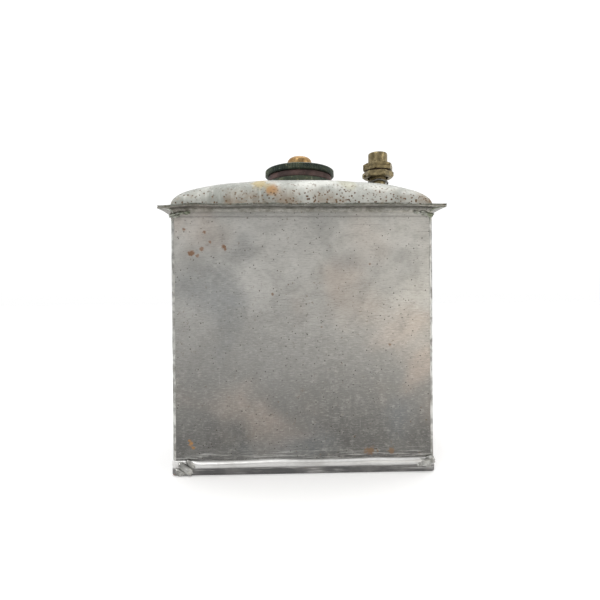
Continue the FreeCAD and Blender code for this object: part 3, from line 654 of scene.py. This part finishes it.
def wall(name, half_wall, half_plate, other_half, turn, finish, seed, tabs=False):
    """One wall; a side wall also gets the tabs bent round behind the front and back."""
    spin = np.array(Matrix.Rotation(math.radians(turn), 3, "Z")).T
    grid = wall_grid(half_wall, half_plate, other_half, seed, spin)
    parts = [thick_sheet(grid, SHEET, np.array((0, -1, 0)) @ spin)]
    if tabs:
        for side in (-1, 1):
            strip = []
            for z in np.linspace(SHEET, FLARE_START, 40):
                row = []
                for share in np.linspace(0, 1, 9):
                    angle = share * math.pi / 2
                    row.append((side * (half_plate + (CORNER - SHEET) * math.sin(angle)),
                                -(other_half - (CORNER - SHEET) * (1 - math.cos(angle)) - 0.02 * MM), z))
                for share in np.linspace(0, 1, 4)[1:]:
                    row.append((side * (half_plate + CORNER - SHEET), -(other_half - CORNER + SHEET
                                - 9 * MM * share), z))
                strip.append(row)
            parts.append(thick_sheet(np.array(strip) @ spin, SHEET * 0.9, np.array((side, -0.4, 0)) @ spin))
    add_piece(name, "sheet", parts, finish, 40)


wall("front_panel", HALF_W, HALF_W - CORNER, HALF_D, 0, FRONT, 21)
wall("back_panel", HALF_W, HALF_W - CORNER, HALF_D, 180, TIN, 22)
wall("left_panel", HALF_D, HALF_D - CORNER, HALF_W, -90, TIN, 23, True)
wall("right_panel", HALF_D, HALF_D - CORNER, HALF_W, 90, TIN, 24, True)


def corner_bead(side_x, side_y, seed):
    """The solder down one upright corner, running out along the mitre under the flange."""
    rng = np.random.default_rng(seed)
    rows = []
    for z in np.linspace(SKIRT_TOP - 2 * MM, FLARE_START, 92):
        rows.append((-CORNER / 2, z, 0.0, BEAD_WIDTH, BEAD_HEIGHT))
    for angle in np.linspace(0, math.pi / 2, 14)[1:]:
        out = FLARE * (1 - math.cos(angle))
        ease = angle / (math.pi / 2)
        rows.append((-CORNER / 2 * (1 - ease) + out, FLARE_START + FLARE * math.sin(angle), angle,
                     BEAD_WIDTH - 0.4 * MM * ease, BEAD_HEIGHT))
    for out in np.linspace(FLARE, FLANGE - 1.0 * MM, 8)[1:]:
        rows.append((out, FLARE_START + FLARE, math.pi / 2, 1.1 * MM, 0.45 * MM))
    wobble = rng.normal(0, 1, (len(rows), 2))
    for _ in range(2):
        wobble[1:-1] = (wobble[:-2] + 2 * wobble[1:-1] + wobble[2:]) / 4
    turns = np.linspace(-math.pi / 2, math.pi / 2, 11)
    points = []
    for index, (out, z, lean, width, height) in enumerate(rows):
        wide = width * (1 + 0.10 * wobble[index, 0])
        tall = height * (1 + 0.14 * wobble[index, 1])
        ring = []
        for turn in turns:
            ring.append((wide * math.sin(turn), tall * max(math.cos(turn), 0.0)))
        ring += [(wide * 0.6, -SOLDER_DEPTH), (-wide * 0.6, -SOLDER_DEPTH)]
        for across, up in ring:
            diagonal = up * math.cos(lean) / math.sqrt(2)
            x = HALF_W + out + diagonal + across / math.sqrt(2)
            y = HALF_D + out + diagonal - across / math.sqrt(2)
            points.append((side_x * x, side_y * y, z - up * math.sin(lean)))
    grid = np.array(points).reshape(len(rows), len(turns) + 2, 3)
    grid[..., 2] += flange_sag(grid[..., 0], grid[..., 1])
    count = grid.shape[1]
    faces = grid_faces(len(rows), count, 0, False, True)
    faces.append(tuple(range(count)))
    faces.append(tuple((len(rows) - 1) * count + j for j in reversed(range(count))))
    return grid, faces


for side_x, side_y, corner in CORNERS:
    seed = 40 + side_x + 3 * side_y
    heavy = 1.25 if side_x < 0 else 0.85
    parts = [corner_bead(side_x, side_y, seed)]
    for offset, drop, size in ((2.6, 1.6, 1.9), (6.0, 0.4, 1.5), (10.5, 0.2, 1.2)):
        centre = (side_x * (HALF_W - offset * MM), side_y * (HALF_D + 0.3 * MM), FLARE_START - drop * MM)
        radii = (2.6 * MM * size / 1.5, 0.62 * MM * heavy, 1.25 * MM * size / 1.5)
        parts.append(blob(centre, radii, side_x * -12, seed * 7 + int(offset), 0.2))
    for offset, drop, size in ((2.2, 1.8, 1.7), (6.5, 0.3, 1.3)):
        centre = (side_x * (HALF_W + 0.3 * MM), side_y * (HALF_D - offset * MM), FLARE_START - drop * MM)
        radii = (0.6 * MM * heavy, 2.3 * MM * size / 1.5, 1.2 * MM * size / 1.5)
        parts.append(blob(centre, radii, 0, seed * 9 + int(offset), 0.2))
    add_piece("corner_seam_" + corner, "bead", parts, SOLDER, 60)


# ---- bottom pan --------------------------------------------------------------------------

def rounded_path(half_x, half_y, radius, straight=2.0 * MM, corner_steps=10):
    """Points and outward directions round a rectangle with rounded corners."""
    path = []
    for corner, (cx, cy) in enumerate(((1, 1), (-1, 1), (-1, -1), (1, -1))):
        centre = np.array([cx * (half_x - radius), cy * (half_y - radius)])
        for step in range(corner_steps + 1):
            angle = math.pi / 2 * (corner + step / corner_steps)
            outward = np.array([math.cos(angle), math.sin(angle)])
            path.append((centre + radius * outward, outward))
        nx, ny = ((-1, 1), (-1, -1), (1, -1), (1, 1))[corner]
        last = path[-1][0]
        goal = np.array([nx * (half_x - radius), ny * half_y]) if corner % 2 == 0 else \
            np.array([nx * half_x, ny * (half_y - radius)])
        count = max(2, int(np.linalg.norm(goal - last) / straight))
        for step in range(1, count):
            path.append((last + (goal - last) * step / count, path[-1][1]))
    return path


# The skirt's section without and with the bead, as (out, up) in millimetres
FOOT = ((-0.3, 0.0), (0.1, 0.0), (0.42, 0.16), (0.68, 0.40), (0.8, 0.8))
PLAIN = FOOT + ((0.82, 3.2), (0.8, 4.2), (0.82, 5.0), (0.86, 5.8), (0.9, 6.6), (0.9, 7.3), (0.9, 8.0),
                (0.86, 8.6), (0.72, 9.1), (0.4, 9.4), (0.05, 9.42))
BEAD = FOOT + ((0.86, 3.3), (0.80, 4.15), (1.35, 4.75), (1.95, 5.4), (2.32, 6.15), (2.42, 6.95), (2.30, 7.7),
               (1.9, 8.4), (1.3, 8.95), (0.6, 9.35), (0.05, 9.42))


def pan_skirt():
    """The pan's skirt, swept round the walls, with the bead easing out at its ends."""
    path = rounded_path(HALF_W, HALF_D, CORNER)
    wander = ripple_field(61, 30 * MM, 90 * MM)
    small = ripple_field(62, 5 * MM, 14 * MM)
    rows = []
    for point, outward in path:
        share = 0.0
        if abs(outward[1]) > 0.99:
            share = min(np.clip((point[0] - BEAD_LEFT) / (5 * MM) + 0.3, 0, 1),
                        np.clip((BEAD_RIGHT - point[0]) / (4 * MM) + 0.3, 0, 1))
        row = []
        lift = 0.30 * wander(point[0], point[1])
        swell = 1 + 0.05 * small(point[0] + point[1], point[1] * 0.5)
        for (plain_o, plain_z), (bead_o, bead_z) in zip(PLAIN, BEAD):
            out = plain_o + (bead_o - plain_o) * share
            z = plain_z + (bead_z - plain_z) * share
            if out > 0.95:
                out = 0.95 + (out - 0.95) * swell
            z += lift * np.clip((z - 3.0) / 4.0, 0, 1)
            out_point = point + outward * out * MM
            row.append((out_point[0], out_point[1], z * MM))
        for out, z in ((0.0, 9.0), (0.0, 0.9), (-0.3, 0.8)):
            out_point = point + outward * out * MM
            row.append((out_point[0], out_point[1], z * MM))
        rows.append(row)
    grid = np.array(rows)
    return grid, grid_faces(grid.shape[0], grid.shape[1], 0, True, True)


def pan_plate():
    """The pan's flat bottom."""
    path = [point + outward * -0.1 * MM for point, outward in rounded_path(HALF_W, HALF_D, CORNER, 8 * MM, 6)]
    count = len(path)
    points = []
    faces = []
    levels = ((1.0, 0.03), (0.9, 0.12), (0.6, 0.16), (0.3, 0.10))
    for top in (0.0, 0.62):
        for scale, lift in levels:
            points += [(p[0] * scale, p[1] * scale, (lift + top) * MM) for p in path]
        points.append((0, 0, (0.08 + top) * MM))
    block = count * len(levels) + 1
    for side in (0, 1):
        first = side * block
        for level in range(len(levels) - 1):
            for k in range(count):
                n = (k + 1) % count
                a = first + level * count
                faces.append((a + k, a + n, a + count + n, a + count + k))
        last = first + (len(levels) - 1) * count
        faces += [(last + k, last + (k + 1) % count, first + block - 1) for k in range(count)]
    faces += [(k, (k + 1) % count, block + (k + 1) % count, block + k) for k in range(count)]
    return np.array(points), faces


add_piece("bottom_pan", "skirt", [pan_skirt(), pan_plate()], PAN, 40)

# (inset, height, half length, half thickness, half height, tilt) of each lump, in mm and degrees
LEFT_LUMPS = ((8.4, 4.6, 5.6, 1.7, 2.5, -42), (11.6, 7.6, 3.4, 1.6, 1.7, -38), (5.0, 2.4, 3.6, 1.5, 2.0, -30))
RIGHT_LUMPS = ((5.6, 6.6, 4.9, 1.7, 2.9, 14), (2.4, 8.6, 2.9, 1.6, 2.1, 25), (9.2, 5.2, 3.2, 1.5, 1.8, 6))
for side_x, side_y, corner in CORNERS:
    parts = []
    for index, (inset, z, long, thick, tall, tilt) in enumerate(LEFT_LUMPS if side_x < 0 else RIGHT_LUMPS):
        centre = (side_x * (HALF_W - inset * MM), side_y * (HALF_D + 1.1 * MM), z * MM)
        parts.append(blob(centre, (long * MM, thick * MM, tall * MM), -side_x * tilt,
                          200 + 10 * index + 3 * side_x + side_y, 0.15))
    add_piece("corner_solder_" + corner, "lumps", parts, SOLDER, 60)


# ---- lid ---------------------------------------------------------------------------------

def edge_share(offset, half):
    """The cosine of the dome's angle at a distance from its middle."""
    edge = 1 - math.cos(DOME_EDGE_ANGLE) ** DOME_EDGE_POWER
    share = np.clip(np.abs(offset) / half, 0, 1) ** DOME_PLAN_POWER
    return (1 - share * edge) ** (1 / DOME_EDGE_POWER)


def dome_height(x, y):
    """The height of the lid's outside at a place."""
    return FLANGE_TOP + DOME_RISE * edge_share(x, HALF_W) * edge_share(y, HALF_D)


def dome_lines(half, reach, count):
    """Positions across the lid and the cosine that belongs to each."""
    edge = 1 - math.cos(DOME_EDGE_ANGLE) ** DOME_EDGE_POWER
    angle = np.linspace(-DOME_EDGE_ANGLE, DOME_EDGE_ANGLE, count)
    share = (1 - np.cos(angle) ** DOME_EDGE_POWER) / edge
    middle = np.sign(angle) * half * share ** (1 / DOME_PLAN_POWER)
    low = math.cos(DOME_EDGE_ANGLE)
    foot = [(half + 0.12 * MM, low * 0.42), (half + 0.4 * MM, low * 0.16), (half + 1.0 * MM, 0.02 * low)]
    foot += [(half + share * (reach - half), 0.0) for share in (0.3, 0.5, 0.7, 0.85, 0.95, 1.0)]
    places = [(-p, c) for p, c in reversed(foot)] + list(zip(middle, np.cos(angle))) + foot
    return np.array([p for p, c in places]), np.array([c for p, c in places])


def lid_sheet():
    """The pressed lid with its flange."""
    x, cos_x = dome_lines(HALF_W, REACH_X, 101)
    y, cos_y = dome_lines(HALF_D, REACH_Y, 81)
    grid_x, grid_y = np.meshgrid(x, y)
    z = FLANGE_TOP + DOME_RISE * cos_x[None, :] * cos_y[:, None]
    high = np.clip((z - FLANGE_TOP) / DOME_RISE, 0, 1)
    free = np.clip((np.hypot(grid_x, grid_y) - 27 * MM) / (10 * MM), 0, 1)
    free = free * np.clip((np.hypot(grid_x - OUTLET_X, grid_y) - 10 * MM) / (8 * MM), 0, 1)
    z = z + 0.30 * MM * high * free * ripple_field(71, 22 * MM, 60 * MM)(grid_x, grid_y)
    z = z - 0.45 * MM * high * free * bump_at(grid_x, grid_y, -52 * MM, -38 * MM, 9 * MM, 6 * MM)
    z = z - 0.5 * MM * high * free * bump_at(grid_x, grid_y, 34 * MM, -45 * MM, 8 * MM, 5 * MM)
    z = z + flange_sag(grid_x, grid_y)
    shrink = flange_reach(grid_x, grid_y)
    grid = np.stack([grid_x * shrink, grid_y * shrink, z], axis=2)
    return thick_sheet(grid, SHEET, np.array((0, 0, 1)))


lid = add_piece("lid", "pressing", [lid_sheet()], LID, 45)
for hole_r, hole_x in ((SLEEVE_R, 0.0), (BOSS_SPIGOT_R, OUTLET_X)):
    cut_hole(lid, hole_r + HOLE_CLEARANCE, hole_x, FLANGE_TOP - 5 * MM, FLANGE_TOP + 40 * MM)
shade(lid, 45)


def flange_solder():
    """The solder squeezed out between the lid and the body's flange."""
    path = rounded_path(REACH_X - 0.05 * MM, REACH_Y - 0.05 * MM, 1.6 * MM, 1.5 * MM, 6)
    run = ripple_field(81, 3 * MM, 9 * MM)
    long = ripple_field(82, 14 * MM, 40 * MM)
    middle = FLANGE_TOP - SHEET - 0.15 * MM
    rows = []
    for point, outward in path:
        x, y = point
        swell = max(0.0, 0.35 + 0.35 * run(x + y, x - y) + 0.3 * long(x, y))
        back = 1 - 0.004 - 0.003 * EDGE_WANDER(y, x)
        base = point * back
        sag = flange_sag(np.array(x), np.array(y))
        row = []
        for out, up in ((-4.0, 0.14), (-0.1, 0.14), (0.14 * swell, 0.12), (0.2 * swell, 0.0),
                        (0.14 * swell, -0.14), (-0.1, -0.16), (-4.0, -0.16)):
            place = base + outward * out * MM
            row.append((place[0], place[1], middle + sag * (1.0 if out > -2 else 0.4) + up * MM))
        rows.append(row)
    grid = np.array(rows)
    return grid, grid_faces(grid.shape[0], grid.shape[1], 0, True, True)


add_piece("lid_seam_solder", "film", [flange_solder()], SOLDER, 50)


# ---- filler ------------------------------------------------------------------------------

def mm_profile(*corners):
    """Profile corners given in millimetres."""
    return rounded_profile([(r * MM, z * MM, rounding * MM, tag) for r, z, rounding, tag in corners])


def mm_points(*points):
    """Outline points given in millimetres."""
    return [(r * MM, z * MM, tag) for r, z, tag in points]


def wander_round(seed, shortest, longest, radius, angle):
    """A smooth random field round a turned part; its waves' lengths are in millimetres."""
    return ripple_field(seed, shortest * MM, longest * MM)(radius * np.cos(angle), radius * np.sin(angle))


def collar_change(tag, radius, height, angle):
    """The collar's foot follows the dome, and its bore carries the cap's thread."""
    ridge = thread_height(height, angle, CAP_PITCH, CAP_THREAD_START, None, 2.5 * MM, 1.3 * MM)
    radius = np.where(tag == "thread", radius + CAP_THREAD_DEPTH * ridge, radius)
    wander = 0.07 * MM * wander_round(91, 12, 30, radius, angle)
    radius = np.where(tag == "side", radius + wander, radius)
    foot = dome_height(radius * np.cos(angle), radius * np.sin(angle)) - 0.4 * MM
    height = np.where(tag == "foot", foot, height)
    return radius, height


collar_points = refine(mm_profile(
    (25, 198, 0, "foot"), (25, 199.6, 0, "side"), (25, 205.15, 0.5, "top"), (19.3, 205.15, 0.3, "thread"),
    (19.3, 194.2, 0, "sleeve"), (22, 194.2, 0, "sleeve"), (22, 198, 0, "foot")), "thread", 0.25 * MM)
collar_points = refine(collar_points, "side", 0.8 * MM)
add_piece("filler_collar", "turning", [turned(collar_points, 288, collar_change)], BRONZE, 35)


def solder_change(centre_x, seed):
    """A solder fillet's foot follows the dome, and its edge wanders."""
    def change(tag, radius, height, angle):
        wander = wander_round(seed, 5, 15, radius, angle)
        radius = np.where(tag == "foot", radius + 0.5 * MM * wander, radius)
        radius = np.where(tag == "slope", radius + 0.2 * MM * wander, radius)
        surface = dome_height(centre_x + radius * np.cos(angle), radius * np.sin(angle))
        height = np.where(tag == "foot", surface - 0.15 * MM, height)
        height = np.where(tag == "slope", np.maximum(surface + height, surface), height)
        height = np.where(tag == "under", surface - 0.6 * MM, height)
        return radius, height
    return change


collar_ring = mm_points((24.9, 2.0, "slope"), (25.3, 1.2, "slope"), (26.1, 0.5, "slope"), (27.5, 0.0, "foot"),
                        (24.9, 0.0, "under"))
add_piece("collar_solder", "ring", [turned(collar_ring, 240, solder_change(0.0, 95))], SOLDER, 60)


def gasket_change(tag, radius, height, angle):
    """A squeezed, slightly uneven gasket."""
    swell = 0.10 * MM * wander_round(97, 14, 40, radius, angle)
    return np.where(tag == "side", radius + swell, radius), height


gasket_points = refine(mm_profile(
    (20.4, 205.2, 0.2, "under"), (24.9, 205.2, 0.7, "side"), (24.9, 209.58, 0.7, "top"),
    (20.4, 209.58, 0.2, "in")), "side", 0.6 * MM)
add_piece("cap_gasket", "ring", [turned(gasket_points, 240, gasket_change)], RUBBER, 40,
          "cap_gasket_carrier")


def cap_change(tag, radius, height, angle):
    """The cap's ribbed rim and its threaded plug."""
    ridge = thread_height(height, angle, CAP_PITCH, CAP_THREAD_START, 2.2, 2.0 * MM, 0.8 * MM)
    radius = np.where(tag == "thread", radius + CAP_THREAD_DEPTH * ridge, radius)
    groove = (0.5 + 0.5 * np.cos(CAP_RIBS * angle)) ** 2.2
    radius = np.where(tag == "rib", radius - RIB_DEPTH * groove, radius)
    worn = 0.06 * MM * wander_round(99, 6, 18, radius, angle)
    return np.where(tag == "rib", radius + worn, radius), height


cap_points = mm_profile(
    (3.0, 215.0, 0.2, "boss"), (11.0, 215.0, 0.5, "crown"), (25.9, 214.42, 0.6, "crown"),
    (26.8, 213.7, 0.3, "rib"), (26.95, 210.3, 0.3, "under"), (26.1, 209.6, 0.3, "under"),
    (19.0, 209.6, 0, "thread"), (19.0, 197.2, 0.4, "lip"), (15.5, 197.2, 0.4, "bore"),
    (15.5, 211.3, 0.6, "roof"), (3.0, 211.3, 0, "hole"))
cap_points = refine(refine(cap_points, "thread", 0.25 * MM), "rib", 0.5 * MM)
add_piece("filler_cap", "turning", [turned(cap_points, 840, cap_change)], BRONZE, 38, "cap")

washer_points = mm_profile((3.3, 215.02, 0, "in"), (7.6, 215.02, 0.25, "side"), (7.5, 216.18, 0.25, "top"),
                           (3.3, 216.18, 0, "in"))
add_piece("vent_washer", "ring", [turned(washer_points, 120)], FIBRE, 40, "vent_washer_carrier")


def solid_of_turning(points, columns, change=None, centre_x=0.0):
    """A turned solid whose outline starts and ends on its axis."""
    grid, _ = turned(points, columns, change, centre_x)
    return grid, grid_faces(len(points), columns, 0, False, True)


def knob_change(tag, radius, height, angle):
    """Small dents in the knob from years of use."""
    worn = ripple_field(103, 3 * MM, 9 * MM)(radius * np.cos(angle), radius * np.sin(angle) + height)
    return np.where(tag == "side", radius + 0.05 * MM * worn, radius), height


crown = [(9.5 * MM * math.cos(a) ** 0.75, (221.4 + 4.5 * math.sin(a)) * MM, "side")
         for a in np.linspace(0, math.pi / 2, 16)[:-1]]
knob_points = mm_points(
    (0, 207.3, "end"), (3.3, 207.3, "end"), (3.8, 207.8, "end"), (3.8, 208.5, "end"), (2.92, 208.7, "shank"),
    (2.92, 216.2, "under"), (7.2, 216.22, "under"), (7.45, 216.4, "side"), (8.9, 217.6, "side"),
    (9.35, 218.0, "side"), (9.5, 218.5, "side"), (9.52, 220.2, "side"))
knob_points += crown + mm_points((0, 225.9, "side"))
knob = solid_of_turning(knob_points, 144, knob_change)
add_piece("vent_knob", "turning", [knob], KNOB, 38, "vent")


# ---- outlet fitting ----------------------------------------------------------------------

def boss_change(tag, radius, height, angle):
    """The boss's foot follows the dome, and its stem carries the union's thread."""
    ridge = thread_height(height, angle, UNION_PITCH, UNION_THREAD_START, 3.2, 0.95 * MM, 0.3 * MM)
    radius = np.where(tag == "thread", radius + UNION_THREAD_DEPTH * ridge, radius)
    foot = dome_height(OUTLET_X + radius * np.cos(angle), radius * np.sin(angle)) - 0.4 * MM
    return radius, np.where(tag == "foot", foot, height)


boss_points = refine(mm_profile(
    (6.2, 194, 0, "foot"), (6.2, 198, 0, "side"), (6.2, 213.58, 0.2, "top"), (5.0, 213.58, 0, "thread"),
    (5.0, 221.0, 0, "nose"), (3.6, 222.4, 0, "end"), (3.3, 222.4, 0, "bore"), (3.3, 189, 0, "end"),
    (5.0, 189, 0, "spigot"), (5.0, 193, 0, "foot")), "thread", 0.15 * MM)
boss = turned(boss_points, 144, boss_change, OUTLET_X)
add_piece("outlet_boss", "turning", [boss], AGED, 35)

outlet_ring = mm_points((6.1, 4.6, "slope"), (6.6, 2.6, "slope"), (7.6, 1.2, "slope"), (9.2, 0.4, "slope"),
                        (11.0, 0.0, "foot"), (6.1, 0.0, "under"))
outlet_fillet = turned(outlet_ring, 160, solder_change(OUTLET_X, 107), OUTLET_X)
add_piece("outlet_solder", "ring", [outlet_fillet], SOLDER, 60)


def hex_change(turn, seed):
    """Six flats cut into the turned blank, with a few nicks along their edges."""
    def change(tag, radius, height, angle):
        nick = 0.05 * MM * ripple_field(seed, 3 * MM, 9 * MM)(angle * 12 * MM, height)
        flat = hex_radius(angle, NUT_CORNER_R, math.radians(turn)) + nick
        radius = np.where(tag == "hex", np.minimum(radius, flat), radius)
        radius = np.where(tag == "groove", np.minimum(radius, flat - 0.4 * MM), radius)
        ridge = thread_height(height, angle, UNION_PITCH, UNION_THREAD_START, None, 1.35 * MM, 0.7 * MM)
        return np.where(tag == "thread", radius + UNION_THREAD_DEPTH * ridge, radius), height
    return change


lock_points = refine(mm_profile(
    (8.2, 209.2, 0.15, "hex"), (10.8, 209.2, 0.1, "hex"), (12.3, 210.1, 0.1, "hex"),
    (12.3, 213.05, 0.1, "hex"), (11.8, 213.38, 0.1, "hex"), (6.22, 213.38, 0, "bore"),
    (6.22, 211.1, 0, "roof"), (8.2, 211.1, 0, "recess")), "hex", 0.3 * MM)
nub = blob((OUTLET_X - 11.4 * MM, -1.5 * MM, 210.5 * MM), (1.0 * MM, 1.2 * MM, 0.9 * MM), 0, 311, 0.15)
lock_nut = turned(lock_points, 360, hex_change(LOCK_NUT_TURN, 305), OUTLET_X)
add_piece("lock_nut", "turning", [lock_nut, nub], AGED, 30)

seat_points = mm_profile((6.0, 213.62, 0, "in"), (8.5, 213.62, 0.2, "side"), (8.5, 214.68, 0.2, "top"),
                         (6.0, 214.68, 0, "in"))
add_piece("union_washer", "ring", [turned(seat_points, 144, None, OUTLET_X)], FIBRE, 40,
          "union_washer_carrier")

union_points = mm_profile(
    (6.0, 214.72, 0, "hex"), (11.8, 214.72, 0.1, "hex"), (12.3, 215.0, 0.1, "hex"),
    (12.3, 217.25, 0, "hex"), (12.28, 217.3, 0, "groove"), (12.28, 217.62, 0, "hex"),
    (12.3, 217.68, 0, "hex"), (12.3, 218.9, 0.1, "hex"),
    (10.8, 219.8, 0.1, "hex"), (7.5, 219.8, 0.25, "hub"), (7.5, 228.7, 1.3, "cap"), (3.3, 228.7, 0.3, "hole"),
    (3.3, 225.3, 0, "roof"), (5.25, 225.3, 0, "thread"), (5.25, 214.9, 0, "mouth"))
union_points = refine(refine(refine(union_points, "hex", 0.3 * MM), "thread", 0.18 * MM), "hub", 0.8 * MM)
union_nut = turned(union_points, 360, hex_change(UNION_NUT_TURN, 315), OUTLET_X)
add_piece("union_nut", "turning", [union_nut], AGED, 30, "union")

ring_path = []
for share in np.linspace(0, 1, 90):
    angle = -math.radians(310) * share
    ring_path.append((OUTLET_X + CLIP_R * math.cos(angle), CLIP_R * math.sin(angle),
                      (206.2 + 0.5 * math.sin(3 * angle)) * MM))
tail_path = [(OUTLET_X + CLIP_R, -0.1 * MM, (206.5 - 3.9 * share) * MM) for share in np.linspace(0, 1, 12)]
tail_path = [(x + 0.9 * MM * (1 - k / 11) ** 2, y, z) for k, (x, y, z) in enumerate(tail_path)]
clip = [wire(ring_path, CLIP_WIRE_R), wire(tail_path, CLIP_WIRE_R)]
add_piece("retaining_clip", "wire", clip, WIRE, 60)

tube_points = mm_profile((2.4, 9, 0.1, "in"), (3.175, 9, 0.15, "side"), (3.175, 195, 0.15, "top"),
                         (2.4, 195, 0, "in"))
tube = turned(refine(tube_points, "side", 4 * MM), 64, None, OUTLET_X)
add_piece("pickup_tube", "turning", [tube], COPPER, 40)


def gauze_change(tag, radius, height, angle):
    """The weave of the strainer's gauze."""
    weave = np.sin(angle * GAUZE_WIRES) * np.sin(height / MM * 2 * math.pi / 0.9)
    return np.where(tag == "side", radius + 0.10 * MM * weave, radius), height


cup_points = refine(mm_profile(
    (3.3, 4.0, 0, "base"), (6.9, 4.0, 0.8, "side"), (6.9, 16.0, 0.5, "top"), (3.2, 16.0, 0, "in"),
    (3.2, 15.5, 0, "in"), (6.4, 15.5, 0.3, "in"), (6.4, 4.5, 0.3, "in"), (3.3, 4.5, 0, "in")),
    "side", 0.3 * MM)
base_points = mm_points((0, 4.0, "base"), (3.4, 4.0, "base"), (3.4, 4.5, "base"), (0, 4.5, "base"))
cup = [turned(cup_points, 240, gauze_change, OUTLET_X), solid_of_turning(base_points, 60, None, OUTLET_X)]
add_piece("strainer", "cup", cup, GAUZE, 40)


# ---- stage, light and camera -------------------------------------------------------------

def stage_floor():
    """A plain pale floor that takes the can's shadow."""
    bpy.ops.mesh.primitive_plane_add(size=14, location=(0, 0, -0.0002))
    floor = bpy.context.object
    floor.name = "floor"
    f = Finish("floor_finish", 0.0, 0.7)
    mottle = f.noise(3, 3, 0.6)
    f.start(f.band(mottle, 0.3, 0.7), (0.90, 0.90, 0.90), (0.93, 0.93, 0.93))
    f.shader.inputs["Emission Color"].default_value = (1, 1, 1, 1)
    f.shader.inputs["Emission Strength"].default_value = 0.14
    floor.data.materials.append(f.paint())


def softbox(name, place, aim, size, power, warmth=(1, 1, 1)):
    """A soft area light, which the camera doesn't see directly."""
    lamp = bpy.data.lights.new(name, "AREA")
    lamp.shape = "RECTANGLE"
    lamp.size, lamp.size_y = size
    lamp.energy = power
    lamp.color = warmth
    holder = bpy.data.objects.new(name, lamp)
    holder.location = place
    holder.rotation_euler = (Vector(aim) - Vector(place)).to_track_quat("-Z", "Y").to_euler()
    holder.visible_camera = False
    bpy.context.scene.collection.objects.link(holder)


def studio():
    """A bright backdrop, and a dimmer room on the camera's side that the front reflects."""
    world = bpy.data.worlds.new("studio")
    bpy.context.scene.world = world
    world.use_nodes = True
    tree = world.node_tree
    tree.nodes.clear()
    direction = add_node(tree, "TexCoord", {}).outputs["Generated"]
    _, depth, height = add_node(tree, "SeparateXYZ", {0: direction}).outputs[:3]
    behind = add_node(tree, "MapRange", {"Value": depth, "From Min": -0.55, "From Max": 0.25, "To Min": 0.22,
                                         "To Max": 1.0})
    above = add_node(tree, "MapRange", {"Value": height, "From Min": 0.0, "From Max": 0.8, "To Min": 0.0,
                                        "To Max": 0.35})
    total = add_node(tree, "Math", {0: behind.outputs[0], 1: above.outputs[0]}, operation="ADD")
    sky = add_node(tree, "Background", {"Color": (1.0, 1.0, 1.0, 1.0), "Strength": total.outputs[0]})
    add_node(tree, "OutputWorld", {0: sky.outputs[0]})


stage_floor()
studio()
softbox("key", (-0.5, -0.75, 0.95), (0, 0, 0.15), (0.7, 0.5), 4.5, (1.0, 0.99, 0.97))
softbox("fill", (0.9, -0.55, 0.35), (0.05, 0, 0.12), (0.5, 0.6), 2.2, (1.0, 0.96, 0.90))
softbox("top", (0.1, 0.15, 1.1), (0, 0, 0.1), (0.9, 0.9), 3.0)
softbox("low", (0.34, -0.80, 0.08), (0.08, -0.06, 0.06), (0.16, 0.12), 0.4, (1.0, 0.92, 0.78))

# Where the eye stands, in metres, and its turns in degrees, applied from the last to the first
EYE_PLACE = (-0.01042, -0.35522, 0.11566)
EYE_TURNS = ((-1.612, "Z"), (-0.362, "X"), (0.437, "Y"), (90, "X"))

eye = bpy.data.cameras.new("eye")
eye.lens = 27.0
eye.sensor_width = 36.0
eye.clip_start = 0.01
eye.dof.use_dof = False
camera = bpy.data.objects.new("eye", eye)
bpy.context.scene.collection.objects.link(camera)
aim = Matrix.Identity(4)
for degrees, axis in EYE_TURNS:
    aim = aim @ Matrix.Rotation(math.radians(degrees), 4, axis)
camera.matrix_world = Matrix.Translation(EYE_PLACE) @ aim
bpy.context.scene.camera = camera
bpy.context.scene.view_settings.view_transform = "Standard"
